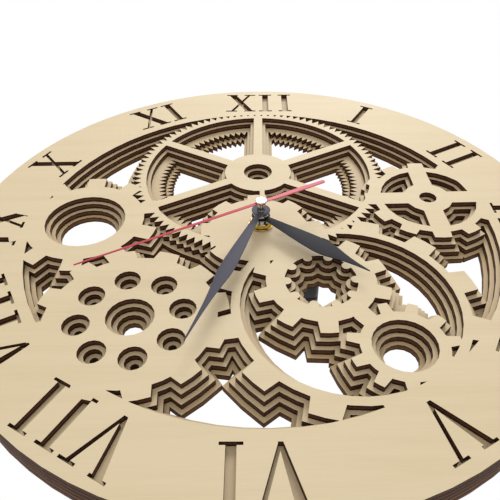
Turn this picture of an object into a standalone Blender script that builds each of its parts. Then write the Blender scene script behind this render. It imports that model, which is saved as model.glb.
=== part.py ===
"""Wooden wall clock: a stack of laser-cut plywood plates and a battery quartz movement.

The dial is four plywood plates on a back ring. The front plate is cut through in the
shape of overlapping gear wheels, and each plate behind it keeps the same drawing with
every solid outline grown by one step, so the openings go down in steps. The movement
hangs behind the middle of the dial, and its tubes carry the three hands.

The dial faces -Y and +Z is up. The origin is where the wall hook carries the hanger,
in the plane of the wall. Sizes are in millimetres and are scaled to metres when a mesh
is made. Dial drawings use points (x, z) with the hand axis at (0, 0).
"""
import math

import bmesh
import bpy
from mathutils import Vector
from mathutils.geometry import delaunay_2d_cdt

MM = 0.001

# Fits
FIT_GAP = 0.3
WELD = 0.02

# Plywood plates
DIAL_RADIUS = 150.0
PLY = 2.75
PLATE_COUNT = 4
STEP = 2.0
RING_WIDTH = 34.2
RING_INNER_RADIUS = DIAL_RADIUS - RING_WIDTH
BACK_RING_WIDTH = 24.0
BACK_RING_INNER_RADIUS = DIAL_RADIUS - BACK_RING_WIDTH
DIAL_HOLE_RADIUS = 4.3

# Numerals, cut through the front plate only
NUMERAL_FOOT_GAP = 4.8
NUMERAL_EDGE_GAP = 5.2
NUMERAL_BASE_RADIUS = RING_INNER_RADIUS + NUMERAL_FOOT_GAP
NUMERAL_HEIGHT = RING_WIDTH - NUMERAL_FOOT_GAP - NUMERAL_EDGE_GAP
NUMERAL_STEM = 3.9
NUMERAL_HAIRLINE = 1.9
NUMERAL_SERIF = 1.3
NUMERAL_I_WIDTH = 8.6
NUMERAL_X_WIDTH = 19.5
NUMERAL_V_WIDTH = 21.0
NUMERAL_SERIF_WIDTH = 7.4
NUMERAL_I_SPACING = 4.5
NUMERAL_LETTER_SPACING = 2.4
NUMERAL_TURN = 1.4
TEN_NUMERAL_TURN = -2.8
NUMERALS = ("XII", "I", "II", "III", "IIII", "V", "VI", "VII", "VIII", "IX", "X", "XI")

# Six-spoke wheel at the top; an overlap is how far teeth reach over the ring
TOP_WHEEL_TIP_RADIUS = 70.2
TOP_WHEEL_OVERLAP = 2.7
TOP_WHEEL_CENTRE = (0.0, RING_INNER_RADIUS + TOP_WHEEL_OVERLAP - TOP_WHEEL_TIP_RADIUS)
TOP_WHEEL_TEETH = 96
TOP_WHEEL_TOOTH_DEPTHS = (4.5, 2.1, 0.8, 0.5)
TOP_WHEEL_WINDOW_RADIUS = 63.0
TOP_WHEEL_HUB_RADIUS = 18.75
TOP_WHEEL_HOLE_RADIUS = 8.0
TOP_WHEEL_SPOKES = 6
TOP_WHEEL_SPOKE_WIDTH = 5.4
TOP_WHEEL_TURN = -1.9
LOW_SPOKE_LEFT = 0.4
LOW_SPOKE_RIGHT = 3.0
LOW_SPOKE_CUT_WIDTH = 4.2
INNER_TEETH_TIP_RADII = (52.8, 48.75)
INNER_TEETH_DEPTH = 4.1
FIRST_PLATE_WITH_INNER_TEETH = 2

# Four-spoke wheel at the right
RIGHT_WHEEL_WINDOW_RADIUS = 24.9
RIGHT_WHEEL_HUB_RADIUS = 12.6
RIGHT_WHEEL_HOLE_RADIUS = 4.6
RIGHT_WHEEL_SPOKES = 4
RIGHT_WHEEL_SPOKE_WIDTH = 9.9

# Toothed wheels around the dial: tip radius, tooth depth and overlap with the ring
LEFT_WHEEL_TIP_RADIUS = 37.8
LEFT_WHEEL_TOOTH_DEPTH = 7.8
LEFT_WHEEL_OVERLAP = 12.1
LOWER_LEFT_WHEEL_TIP_RADIUS = 42.6
LOWER_LEFT_WHEEL_TOOTH_DEPTH = 5.25
LOWER_LEFT_WHEEL_OVERLAP = 10.7
LOWER_RIGHT_RIM_TIP_RADIUS = 58.65
LOWER_RIGHT_RIM_TOOTH_DEPTH = 7.05
LOWER_RIGHT_RIM_OVERLAP = 9.5
SMALL_WHEEL_TIP_RADIUS = 23.55
SMALL_WHEEL_TOOTH_DEPTH = 5.25
SMALL_WHEEL_OVERLAP = 4.5
RIGHT_WHEEL_TIP_RADIUS = 33.45
RIGHT_WHEEL_TOOTH_DEPTH = 4.25
RIGHT_WHEEL_OVERLAP = 10.0
LOBED_WHEEL_TIP_RADIUS = 31.35
LOBED_WHEEL_TOOTH_DEPTH = 6.15
LOBED_WHEEL_DISTANCE = 48.5

# Wheels with round holes
LEFT_WHEEL_HOLE_RADIUS = 20.3
LOWER_LEFT_WHEEL_HOLE_RADIUS = 10.5
LOWER_LEFT_WHEEL_SMALL_HOLES = 8
LOWER_LEFT_WHEEL_SMALL_HOLE_RADIUS = 5.95
LOWER_LEFT_WHEEL_SMALL_HOLE_CIRCLE = 22.6
LOWER_LEFT_WHEEL_SMALL_HOLE_TURN = 10.3
LOWER_RIGHT_RIM_HOLE_RADIUS = 47.55
SMALL_WHEEL_HOLE_RADIUS = 13.5
LOBED_HOLE_RADIUS = 16.6
LOBED_HOLE_TEETH = 10
LOBED_HOLE_TOOTH_LENGTH = 3.2
LOBED_HOLE_TOOTH_HALF_WIDTH = 2.2
LOBED_HOLE_TOOTH_ARC = 6

# Wheel that carries the movement
HUB_WHEEL_CENTRE = (-1.5, -3.0)
HUB_WHEEL_TIP_RADIUS = 28.8
HUB_WHEEL_TOOTH_DEPTH = 4.0

# Hanger and movement case
MOVEMENT_SIZE = 56.0
MOVEMENT_DEPTH = 16.0
CASE_CORNER_RADIUS = 3.0
CASE_WALL = 1.3
CASE_PLATE = 1.2
CASE_SPLIT_DEPTH = 5.4
BATTERY_BAY_HEIGHT = 15.2
HANGER_SHEET = 1.0
HANGER_WIDTH = 22.0
HANGER_FOOT = 7.0
HANGER_TAB_HEIGHT = 14.0
HOOK_HOLE_RADIUS = 2.6
HOOK_HEIGHT = 38.0
NAIL_RADIUS = 1.5
RUBBER_WASHER_THICKNESS = 1.0
RUBBER_WASHER_RADIUS = 11.0

# Bush, nut and washer
BUSH_RADIUS = 4.0
BUSH_PAST_NUT = 1.8
THREAD_PITCH = 0.75
THREAD_DEPTH = 0.35
BRASS_WASHER_RADIUS = 6.1
BRASS_WASHER_THICKNESS = 0.5
NUT_ACROSS_FLATS = 10.0
NUT_HEIGHT = 2.4
NUT_CHAMFER = 0.5

# Nested tubes
SECOND_SHAFT_RADIUS = 0.6
MINUTE_TUBE_RADIUS = 1.6
HOUR_TUBE_RADIUS = 2.6
TUBE_CLEARANCE = 0.3

# Hands
HAND_SHEET = 0.5
HAND_EYE_RADIUS = 4.6
HOUR_HAND_LENGTH = 63.0
HOUR_HAND_ANGLE = -41.6
HOUR_HAND_WIDTH = 9.6
MINUTE_HAND_LENGTH = 88.5
MINUTE_HAND_ANGLE = -111.7
MINUTE_HAND_WIDTH = 7.6
SECOND_HAND_LENGTH = 93.0
SECOND_HAND_ANGLE = -152.6
SECOND_HAND_TAIL = 37.5
SECOND_HAND_WIDTH = 1.8
SECOND_HAND_TAIL_WIDTH = 2.9
SECOND_HAND_TIP_WIDTH = 0.7
SECOND_HAND_SHEET = 0.4
HOUR_COLLAR_RADIUS = 3.8
MINUTE_COLLAR_RADIUS = 3.2
COLLAR_LENGTH = 1.0
SECOND_BARREL_RADIUS = 1.7
SECOND_CAP_RADIUS = 2.9
SECOND_BARREL_LENGTH = 5.6
SECOND_CAP_THICKNESS = 0.9
SECOND_CAP_ROUND = 0.3

# Gear train: tooth counts and modules
HOUR_WHEEL_TEETH = 24
MOTION_PINION_TEETH = 6
HOUR_MODULE = 0.64
MOTION_WHEEL_TEETH = 24
MINUTE_PINION_TEETH = 8
MOTION_MODULE = 0.6
CENTRE_WHEEL_TEETH = 48
THIRD_PINION_TEETH = 6
CENTRE_MODULE = 0.34
THIRD_WHEEL_TEETH = 45
SECOND_PINION_TEETH = 6
THIRD_MODULE = 0.36
SECOND_WHEEL_TEETH = 30
STEP_PINION_TEETH = 6
SECOND_MODULE = 0.52
STEP_WHEEL_TEETH = 36
ROTOR_PINION_TEETH = 6
STEP_MODULE = 0.36
FINE_TEETH = 20
THIRD_ARBOR_ANGLE = 170.0
STEP_ARBOR_ANGLE = 60.0
ROTOR_FROM_STEP_ANGLE = 20.0
WHEEL_THICKNESS = 0.8
ARBOR_RADIUS = 0.5
SETTING_ARBOR_RADIUS = 0.9

# Motor, board and battery
ROTOR_RADIUS = 3.0
ROTOR_LENGTH = 2.0
STATOR_SHEET = 1.2
STATOR_LEG = 3.6
COIL_CENTRE_HEIGHT = 20.5
COIL_RADIUS = 4.0
COIL_LENGTH = 20.0
COIL_CORE_HEIGHT = 2.6
BOBBIN_FLANGE = 0.9
COIL_FLANGE_GAP = 1.5
BOBBIN_WALL = 0.6
WINDING_BELOW_FLANGE = 0.4
STATOR_LEFT = -15.5
STATOR_BAND = 2.4
STATOR_BAND_OVERLAP = 1.1
STATOR_POLE_WALL = 1.4
STATOR_ROTOR_GAP = 0.5
STATOR_PAST_CORE = 0.6
BRIDGE_SHEET = 1.0
BRIDGE_HALF_WIDTH = 20.3
BRIDGE_BOTTOM = -9.5
POST_RADIUS = 1.3
BOARD_SHEET = 1.0
BOARD_RIGHT = -4.0
BOARD_TOP = 3.0
BOARD_MARGIN = 0.5
BOARD_OVER_WALL = 0.4
CHIP_CENTRE = (-17.0, -4.0)
CHIP_SIZE = 6.0
CHIP_THICKNESS = 0.6
CRYSTAL_CENTRE = (-23.5, -5.0)
BATTERY_RADIUS = 7.1
BATTERY_LENGTH = 49.5
BATTERY_NUB_RADIUS = 2.7
BATTERY_NUB_LENGTH = 1.0
BATTERY_SHOULDER = 0.8
CONTACT_SHEET = 0.4
CONTACT_MARGIN = 0.3
CONTACT_FROM_FRONT = 3.0
CONTACT_FROM_BOTTOM = 3.0
CONTACT_BELOW_WALL = 2.0
CONTACT_STRIP_WIDTH = 1.2
CONTACT_STRIP_OVERLAP = 0.1
PLUS_STRIP_END = -6.0
MINUS_STRIP_LENGTH = 5.0
MINUS_BULGE = 0.9
MINUS_BULGE_FOOT = 4.0
MINUS_BULGE_TOP = 1.5
KNOB_RADIUS = 4.2
KNOB_THICKNESS = 3.8
KNOB_RIBS = 24
KNOB_RIB_DEPTH = 0.35
CRYSTAL_RADIUS = 0.9
CRYSTAL_LENGTH = 6.0

# Depths, front to back: y grows towards the wall, and the wall is y = 0
CASE_FRONT = -MOVEMENT_DEPTH
HANGER_SPAN = (CASE_FRONT - FIT_GAP - HANGER_SHEET, CASE_FRONT - FIT_GAP)
RUBBER_SPAN = (HANGER_SPAN[0] - FIT_GAP - RUBBER_WASHER_THICKNESS, HANGER_SPAN[0] - FIT_GAP)
PLATE_PITCH = PLY + FIT_GAP
REAR_PLATE_BACK = RUBBER_SPAN[0] - FIT_GAP
DIAL_FACE = REAR_PLATE_BACK - PLATE_COUNT * PLATE_PITCH + FIT_GAP
WASHER_SPAN = (DIAL_FACE - FIT_GAP - BRASS_WASHER_THICKNESS, DIAL_FACE - FIT_GAP)
NUT_SPAN = (WASHER_SPAN[0] - FIT_GAP - NUT_HEIGHT, WASHER_SPAN[0] - FIT_GAP)
BUSH_FRONT = NUT_SPAN[0] - BUSH_PAST_NUT
HOUR_HAND_SPAN = (BUSH_FRONT - FIT_GAP - HAND_SHEET, BUSH_FRONT - FIT_GAP)
HOUR_COLLAR_SPAN = (HOUR_HAND_SPAN[0] - FIT_GAP - COLLAR_LENGTH, HOUR_HAND_SPAN[0] - FIT_GAP)
MINUTE_COLLAR_SPAN = (HOUR_COLLAR_SPAN[0] - FIT_GAP - COLLAR_LENGTH, HOUR_COLLAR_SPAN[0] - FIT_GAP)
MINUTE_HAND_SPAN = (MINUTE_COLLAR_SPAN[0] - FIT_GAP - HAND_SHEET, MINUTE_COLLAR_SPAN[0] - FIT_GAP)
BARREL_SPAN = (MINUTE_HAND_SPAN[0] - FIT_GAP - SECOND_BARREL_LENGTH, MINUTE_HAND_SPAN[0] - FIT_GAP)
CAP_BACK = BARREL_SPAN[0] + SECOND_CAP_THICKNESS
SECOND_HAND_SPAN = (CAP_BACK + FIT_GAP, CAP_BACK + FIT_GAP + SECOND_HAND_SHEET)

# Depths inside the movement, each level one wheel and one gap behind the last
TRAIN_FRONT = CASE_FRONT + CASE_PLATE + FIT_GAP
LEVEL_PITCH = WHEEL_THICKNESS + FIT_GAP


def level(index):
    """Front and back of one wheel level, counted from the dial side."""
    front = TRAIN_FRONT + index * LEVEL_PITCH
    return (front, front + WHEEL_THICKNESS)


HOUR_LEVEL = level(0)
MOTION_LEVEL = level(1)
CENTRE_LEVEL = level(2)
THIRD_LEVEL = level(3)
SECOND_LEVEL = level(4)
STEP_LEVEL = level(5)
ROTOR_SPAN = (STEP_LEVEL[1] + FIT_GAP, STEP_LEVEL[1] + FIT_GAP + ROTOR_LENGTH)
STATOR_SPAN = (ROTOR_SPAN[1] - STATOR_SHEET, ROTOR_SPAN[1])
CORE_SPAN = (STATOR_SPAN[0] - FIT_GAP - STATOR_SHEET, STATOR_SPAN[0] - FIT_GAP)
BRIDGE_SPAN = (ROTOR_SPAN[1] + FIT_GAP, ROTOR_SPAN[1] + FIT_GAP + BRIDGE_SHEET)
ARBOR_BACK = BRIDGE_SPAN[1] - FIT_GAP
BOARD_SPAN = (BRIDGE_SPAN[1] + FIT_GAP, BRIDGE_SPAN[1] + FIT_GAP + BOARD_SHEET)

# Materials: base colour (linear), roughness, metallic
MATERIALS = {
    "birch_plywood": ((0.74, 0.60, 0.42), 0.62, 0.0),
    "black_plastic": ((0.02, 0.02, 0.022), 0.45, 0.0),
    "white_plastic": ((0.72, 0.70, 0.64), 0.40, 0.0),
    "black_paint": ((0.035, 0.035, 0.04), 0.30, 0.0),
    "red_paint": ((0.62, 0.10, 0.11), 0.35, 0.0),
    "brass": ((0.80, 0.58, 0.22), 0.25, 1.0),
    "nickel_plate": ((0.70, 0.70, 0.69), 0.22, 1.0),
    "steel_sheet": ((0.52, 0.53, 0.54), 0.35, 1.0),
    "rubber": ((0.03, 0.03, 0.03), 0.80, 0.0),
    "copper_wire": ((0.72, 0.32, 0.16), 0.35, 1.0),
    "green_board": ((0.03, 0.16, 0.07), 0.50, 0.0),
    "battery_wrap": ((0.10, 0.12, 0.15), 0.35, 0.0),
    "magnet": ((0.12, 0.12, 0.13), 0.35, 0.8),
}


def clear_scene():
    """Remove every object, so the script starts from an empty scene."""
    for old in list(bpy.data.objects):
        bpy.data.objects.remove(old, do_unlink=True)


def material(name):
    """Return the named material, made on first use."""
    found = bpy.data.materials.get(name)
    if found:
        return found
    colour, roughness, metallic = MATERIALS[name]
    made = bpy.data.materials.new(name)
    made.use_nodes = True
    shader = made.node_tree.nodes["Principled BSDF"]
    shader.inputs["Base Color"].default_value = (*colour, 1.0)
    shader.inputs["Roughness"].default_value = roughness
    shader.inputs["Metallic"].default_value = metallic
    return made


# Outlines: lists of (x, z) points, counter-clockwise as seen from the front


def polar(centre, radius, degrees):
    """Point at a radius and an angle from a centre."""
    turn = math.radians(degrees)
    return (centre[0] + radius * math.cos(turn), centre[1] + radius * math.sin(turn))


def sides(radius):
    """Number of sides that keeps a round outline within about 0.12 mm of round."""
    return max(8, 4 * round(1.6 * math.sqrt(radius)))


def circle(centre, radius):
    """Round outline."""
    count = sides(radius)
    return [polar(centre, radius, 360.0 * i / count) for i in range(count)]


def rectangle(left, bottom, right, top):
    """Outline with square corners."""
    return [(left, bottom), (right, bottom), (right, top), (left, top)]


def rounded_square(half, corner, segments=5):
    """Square outline about (0, 0) with round corners."""
    outline = []
    middle = half - corner
    for quarter, (x, z) in enumerate(((1, 1), (-1, 1), (-1, -1), (1, -1))):
        for i in range(segments + 1):
            angle = 90.0 * quarter + 90.0 * i / segments
            outline.append(polar((x * middle, z * middle), corner, angle))
    return outline


def spread(first, last, count):
    """Evenly spaced values from first to last."""
    return [first + (last - first) * i / (count - 1) for i in range(count)]


def grow(outline, distance):
    """Move every side of a convex outline outwards by a distance."""
    grown = []
    for i, (x, z) in enumerate(outline):
        before = outline[i - 1]
        after = outline[(i + 1) % len(outline)]
        first = Vector((z - before[1], before[0] - x)).normalized()
        second = Vector((after[1] - z, x - after[0])).normalized()
        mitre = (first + second) / (1.0 + first.dot(second))
        grown.append((x + distance * mitre.x, z + distance * mitre.y))
    return grown


def zigzag(centre, teeth, inner, outer, turn=0.0):
    """Outline of pointed teeth between two radii."""
    outline = []
    for i in range(teeth):
        angle = turn + 360.0 * i / teeth
        outline.append(polar(centre, inner, angle))
        outline.append(polar(centre, outer, angle + 180.0 / teeth))
    return outline


def window(centre, inner, outer, first, last, spoke_width, arc_points):
    """Opening between two spokes whose middle lines are at the angles first and last."""
    inner_turn = math.degrees(math.asin(spoke_width / 2.0 / inner))
    outer_turn = math.degrees(math.asin(spoke_width / 2.0 / outer))
    outer_arc = [polar(centre, outer, a) for a in spread(first + outer_turn, last - outer_turn, arc_points)]
    inner_arc = [
        polar(centre, inner, a)
        for a in spread(last - inner_turn, first + inner_turn, max(3, arc_points // 2))
    ]
    return outer_arc + inner_arc


def spoke_windows(centre, hub, rim, spokes, spoke_width, turn, growth, arc_points):
    """All openings of a spoked wheel, each drawn in by the growth."""
    pitch = 360.0 / spokes
    return [
        window(
            centre,
            hub + growth,
            rim - growth,
            90.0 + turn + pitch * i,
            90.0 + turn + pitch * (i + 1),
            spoke_width + 2.0 * growth,
            arc_points,
        )
        for i in range(spokes)
    ]


class Wheel:
    """Gear outline of the dial: a root disc with square-shouldered teeth.

    The gaps are the widths of the space between two teeth at the root and at the tip,
    and turn is the angle of the middle of the first gap.
    """

    def __init__(self, centre, teeth, tip, depth, root_gap, tip_gap, turn):
        self.centre = centre
        self.teeth = teeth
        self.tip = tip
        self.root = tip - depth
        self.root_gap = root_gap
        self.tip_gap = tip_gap
        self.turn = turn

    def outlines(self, growth):
        """Root disc and teeth, each grown outwards by the growth."""
        pitch = 360.0 / self.teeth
        at_root = pitch / 2.0 - math.degrees(self.root_gap / 2.0 / self.root)
        at_tip = pitch / 2.0 - math.degrees(self.tip_gap / 2.0 / self.tip)
        made = [circle(self.centre, self.root + growth)]
        for i in range(self.teeth):
            middle = self.turn + pitch * (i + 0.5)
            tooth = [
                polar(self.centre, self.root * 0.92, middle - at_root),
                polar(self.centre, self.tip, middle - at_tip),
                polar(self.centre, self.tip, middle),
                polar(self.centre, self.tip, middle + at_tip),
                polar(self.centre, self.root * 0.92, middle + at_root),
            ]
            made.append(grow(tooth, growth))
        return made


def beside_ring(degrees, tip_radius, overlap):
    """Centre of a wheel whose teeth reach over the ring's inner edge by the overlap."""
    return polar((0.0, 0.0), RING_INNER_RADIUS + overlap - tip_radius, degrees)


LEFT_WHEEL = Wheel(
    beside_ring(175.9, LEFT_WHEEL_TIP_RADIUS, LEFT_WHEEL_OVERLAP),
    teeth=10,
    tip=LEFT_WHEEL_TIP_RADIUS,
    depth=LEFT_WHEEL_TOOTH_DEPTH,
    root_gap=8.4,
    tip_gap=13.9,
    turn=0.0,
)
LOWER_LEFT_WHEEL = Wheel(
    beside_ring(-133.6, LOWER_LEFT_WHEEL_TIP_RADIUS, LOWER_LEFT_WHEEL_OVERLAP),
    teeth=12,
    tip=LOWER_LEFT_WHEEL_TIP_RADIUS,
    depth=LOWER_LEFT_WHEEL_TOOTH_DEPTH,
    root_gap=5.7,
    tip_gap=12.2,
    turn=26.3,
)
LOWER_RIGHT_RIM = Wheel(
    beside_ring(-56.85, LOWER_RIGHT_RIM_TIP_RADIUS, LOWER_RIGHT_RIM_OVERLAP),
    teeth=12,
    tip=LOWER_RIGHT_RIM_TIP_RADIUS,
    depth=LOWER_RIGHT_RIM_TOOTH_DEPTH,
    root_gap=11.3,
    tip_gap=18.4,
    turn=-2.25,
)
LOBED_WHEEL = Wheel(
    polar((0.0, 0.0), LOBED_WHEEL_DISTANCE, -57.7),
    teeth=10,
    tip=LOBED_WHEEL_TIP_RADIUS,
    depth=LOBED_WHEEL_TOOTH_DEPTH,
    root_gap=6.1,
    tip_gap=12.0,
    turn=0.0,
)
SMALL_WHEEL = Wheel(
    beside_ring(-55.1, SMALL_WHEEL_TIP_RADIUS, SMALL_WHEEL_OVERLAP),
    teeth=11,
    tip=SMALL_WHEEL_TIP_RADIUS,
    depth=SMALL_WHEEL_TOOTH_DEPTH,
    root_gap=3.8,
    tip_gap=9.0,
    turn=-110.5,
)
RIGHT_WHEEL = Wheel(
    beside_ring(12.8, RIGHT_WHEEL_TIP_RADIUS, RIGHT_WHEEL_OVERLAP),
    teeth=12,
    tip=RIGHT_WHEEL_TIP_RADIUS,
    depth=RIGHT_WHEEL_TOOTH_DEPTH,
    root_gap=5.1,
    tip_gap=9.0,
    turn=-136.0,
)


HUB_WHEEL = Wheel(
    HUB_WHEEL_CENTRE,
    teeth=8,
    tip=HUB_WHEEL_TIP_RADIUS,
    depth=HUB_WHEEL_TOOTH_DEPTH,
    root_gap=8.5,
    tip_gap=12.7,
    turn=22.1,
)


def lobed_hole_teeth(growth):
    """Round-ended teeth that point inwards from the hole of the lobed wheel."""
    half_width = LOBED_HOLE_TOOTH_HALF_WIDTH + growth
    end_radius = LOBED_HOLE_RADIUS - LOBED_HOLE_TOOTH_LENGTH + LOBED_HOLE_TOOTH_HALF_WIDTH
    teeth = []
    for i in range(LOBED_HOLE_TEETH):
        angle = 360.0 / LOBED_HOLE_TEETH * i
        end = polar(LOBED_WHEEL.centre, end_radius, angle)
        root = polar(LOBED_WHEEL.centre, LOBED_HOLE_RADIUS + PLY, angle)
        turns = spread(angle + 90.0, angle + 270.0, LOBED_HOLE_TOOTH_ARC + 1)
        tooth = [polar(end, half_width, turn) for turn in turns]
        tooth.append(polar(root, half_width, angle - 90.0))
        tooth.append(polar(root, half_width, angle + 90.0))
        teeth.append(tooth)
    return teeth


def small_holes(growth):
    """Ring of small round holes in the lower left wheel."""
    radius = LOWER_LEFT_WHEEL_SMALL_HOLE_RADIUS - growth
    pitch = 360.0 / LOWER_LEFT_WHEEL_SMALL_HOLES
    if radius < 1.0:
        return []
    return [
        circle(
            polar(
                LOWER_LEFT_WHEEL.centre,
                LOWER_LEFT_WHEEL_SMALL_HOLE_CIRCLE,
                LOWER_LEFT_WHEEL_SMALL_HOLE_TURN + pitch * i,
            ),
            radius)
        for i in range(LOWER_LEFT_WHEEL_SMALL_HOLES)
    ]


# Numerals


def stroke(bottom, top, width, top_width=None):
    """Straight stroke between two points, cut off level at both ends."""
    top_width = width if top_width is None else top_width
    return [
        (bottom[0] - width / 2.0, bottom[1]),
        (bottom[0] + width / 2.0, bottom[1]),
        (top[0] + top_width / 2.0, top[1]),
        (top[0] - top_width / 2.0, top[1]),
    ]


def serif(x, low, width):
    """Thin bar across the end of a stroke."""
    return rectangle(x - width / 2.0, low, x + width / 2.0, low + NUMERAL_SERIF)


def letter_strokes(letter):
    """Width of a letter and its strokes, with the letter's left foot at (0, 0)."""
    top = NUMERAL_HEIGHT
    high = NUMERAL_HEIGHT - NUMERAL_SERIF
    if letter == "I":
        middle = NUMERAL_I_WIDTH / 2.0
        return NUMERAL_I_WIDTH, [
            stroke((middle, 0.0), (middle, top), NUMERAL_STEM),
            serif(middle, 0.0, NUMERAL_I_WIDTH),
            serif(middle, high, NUMERAL_I_WIDTH),
        ]
    inset = NUMERAL_SERIF_WIDTH / 2.0
    if letter == "X":
        width = NUMERAL_X_WIDTH
        return width, [
            stroke((width - inset, 0.0), (inset, top), NUMERAL_STEM * 1.2),
            stroke((inset, 0.0), (width - inset, top), NUMERAL_HAIRLINE),
            serif(inset, 0.0, NUMERAL_SERIF_WIDTH),
            serif(width - inset, 0.0, NUMERAL_SERIF_WIDTH),
            serif(inset, high, NUMERAL_SERIF_WIDTH),
            serif(width - inset, high, NUMERAL_SERIF_WIDTH),
        ]
    width = NUMERAL_V_WIDTH
    return width, [
        stroke((width / 2.0, 0.0), (inset, top), NUMERAL_HAIRLINE, NUMERAL_STEM * 1.2),
        stroke((width / 2.0, 0.0), (width - inset, top), NUMERAL_HAIRLINE * 0.8, NUMERAL_HAIRLINE),
        serif(inset, high, NUMERAL_SERIF_WIDTH),
        serif(width - inset, high, NUMERAL_SERIF_WIDTH),
    ]


def numeral_outlines():
    """Strokes of all twelve numerals, feet towards the middle of the dial."""
    made = []
    for hour, text in enumerate(NUMERALS):
        letters = [letter_strokes(letter) for letter in text]
        spaces = [
            NUMERAL_I_SPACING if pair == "II" else NUMERAL_LETTER_SPACING
            for pair in zip_pairs(text)
        ]
        left = -(sum(width for width, strokes in letters) + sum(spaces)) / 2.0
        turn = TEN_NUMERAL_TURN if text == "X" else NUMERAL_TURN
        angle = math.radians(90.0 - 30.0 * hour - turn)
        outward = (math.cos(angle), math.sin(angle))
        along = (math.sin(angle), -math.cos(angle))
        for (width, strokes), space in zip(letters, spaces + [0.0]):
            for outline in strokes:
                made.append(
                    [
                        (
                            (left + u) * along[0] + (NUMERAL_BASE_RADIUS + v) * outward[0],
                            (left + u) * along[1] + (NUMERAL_BASE_RADIUS + v) * outward[1],
                        )
                        for u, v in outline
                    ]
                )
            left += width + space
    return made


def zip_pairs(text):
    """Neighbouring letters of a numeral, two by two."""
    return [text[i : i + 2] for i in range(len(text) - 1)]


# Solids: a region is a list of groups, each with solid outlines and hole outlines


def group(solids, holes=()):
    """One group of a region: inside any solid outline and outside every hole outline."""
    return (list(solids), list(holes))


def cut_regions(regions):
    """Cut the plane along every outline of the regions.

    Returns the points, the triangles, and for each region a set with the numbers of the
    triangles that it covers.
    """
    points = []
    faces = []
    members = []
    for region in regions:
        region_members = []
        for solids, holes in region:
            numbers = []
            for outlines in (solids, holes):
                made = set()
                for outline in outlines:
                    first = len(points)
                    points.extend(Vector(point) for point in outline)
                    made.add(len(faces))
                    faces.append(list(range(first, len(points))))
                numbers.append(made)
            region_members.append(numbers)
        members.append(region_members)
    result = delaunay_2d_cdt(points, [], faces, 1, 1e-4, True)
    cut_points = result[0]
    triangles = result[2]
    sources = [set(source) for source in result[5]]
    covered = []
    for region_members in members:
        covered.append(
            {
                i
                for i, source in enumerate(sources)
                if any(source & solids and not source & holes for solids, holes in region_members)
            }
        )
    return cut_points, triangles, covered


def flat_sheet(region, thickness):
    """Mesh of one region between y = 0 and y = thickness, in millimetres."""
    points, triangles, covered = cut_regions([region])
    mesh = bmesh.new()
    corners = [mesh.verts.new((point.x, 0.0, point.y)) for point in points]
    for i in sorted(covered[0]):
        mesh.faces.new([corners[j] for j in triangles[i]])
    loose = [vert for vert in mesh.verts if not vert.link_faces]
    bmesh.ops.delete(mesh, geom=loose, context="VERTS")
    bmesh.ops.remove_doubles(mesh, verts=mesh.verts[:], dist=WELD)
    bmesh.ops.dissolve_limit(mesh, angle_limit=0.004, verts=mesh.verts[:], edges=mesh.edges[:])
    bmesh.ops.triangulate(mesh, faces=mesh.faces[:])
    extruded = bmesh.ops.extrude_face_region(mesh, geom=mesh.faces[:], use_keep_orig=True)
    moved = [item for item in extruded["geom"] if isinstance(item, bmesh.types.BMVert)]
    bmesh.ops.translate(mesh, verts=moved, vec=(0.0, thickness, 0.0))
    bmesh.ops.recalc_face_normals(mesh, faces=mesh.faces[:])
    return mesh


def stepped_solid(levels):
    """Mesh of a solid whose outline changes with depth.

    Each level is ((front, back), region), and each level starts where the last one ends.
    """
    points, triangles, covered = cut_regions([region for span, region in levels])
    depths = [span[0] for span, region in levels] + [levels[-1][0][1]]
    mesh = bmesh.new()
    corners = {}

    def corner(point, depth):
        """Vertex of a point at a depth, made on first use."""
        if (point, depth) not in corners:
            place = points[point]
            corners[(point, depth)] = mesh.verts.new((place.x, depths[depth], place.y))
        return corners[(point, depth)]

    sides = {}
    for i, triangle in enumerate(triangles):
        for a, b in zip(triangle, triangle[1:] + triangle[:1]):
            sides[(a, b)] = i
    for depth in range(len(depths)):
        ahead = covered[depth - 1] if depth > 0 else set()
        behind = covered[depth] if depth < len(levels) else set()
        for i in sorted(ahead ^ behind):
            mesh.faces.new([corner(point, depth) for point in triangles[i]])
    for depth, inside in enumerate(covered):
        for (a, b), i in sides.items():
            if i in inside and sides.get((b, a)) not in inside:
                mesh.faces.new(
                    [corner(a, depth), corner(b, depth), corner(b, depth + 1), corner(a, depth + 1)]
                )
    bmesh.ops.recalc_face_normals(mesh, faces=mesh.faces[:])
    bmesh.ops.dissolve_limit(mesh, angle_limit=0.004, verts=mesh.verts[:], edges=mesh.edges[:])
    bmesh.ops.triangulate(mesh, faces=mesh.faces[:])
    return mesh


def turned_solid(profile, segments, axis="Y", centre=(0.0, 0.0, 0.0)):
    """Mesh of a closed profile of (radius, depth) points turned round an axis."""
    mesh = bmesh.new()
    axis_vector = Vector((1.0, 0.0, 0.0)) if axis == "X" else Vector((0.0, 1.0, 0.0))
    if axis == "Z":
        axis_vector = Vector((0.0, 0.0, 1.0))
    side = Vector((1.0, 0.0, 0.0)) if axis == "Z" else Vector((0.0, 0.0, 1.0))
    ring = [mesh.verts.new(side * radius + axis_vector * depth) for radius, depth in profile]
    edges = []
    for first, second in zip(ring, ring[1:] + ring[:1]):
        on_axis = first.co.dot(side) < 1e-6 and second.co.dot(side) < 1e-6
        if not on_axis:
            edges.append(mesh.edges.new((first, second)))
    bmesh.ops.spin(
        mesh, geom=edges, cent=(0.0, 0.0, 0.0), axis=axis_vector, angle=math.tau, steps=segments
    )
    bmesh.ops.remove_doubles(mesh, verts=mesh.verts[:], dist=1e-4)
    bmesh.ops.recalc_face_normals(mesh, faces=mesh.faces[:])
    bmesh.ops.translate(mesh, verts=mesh.verts[:], vec=centre)
    return mesh


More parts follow.
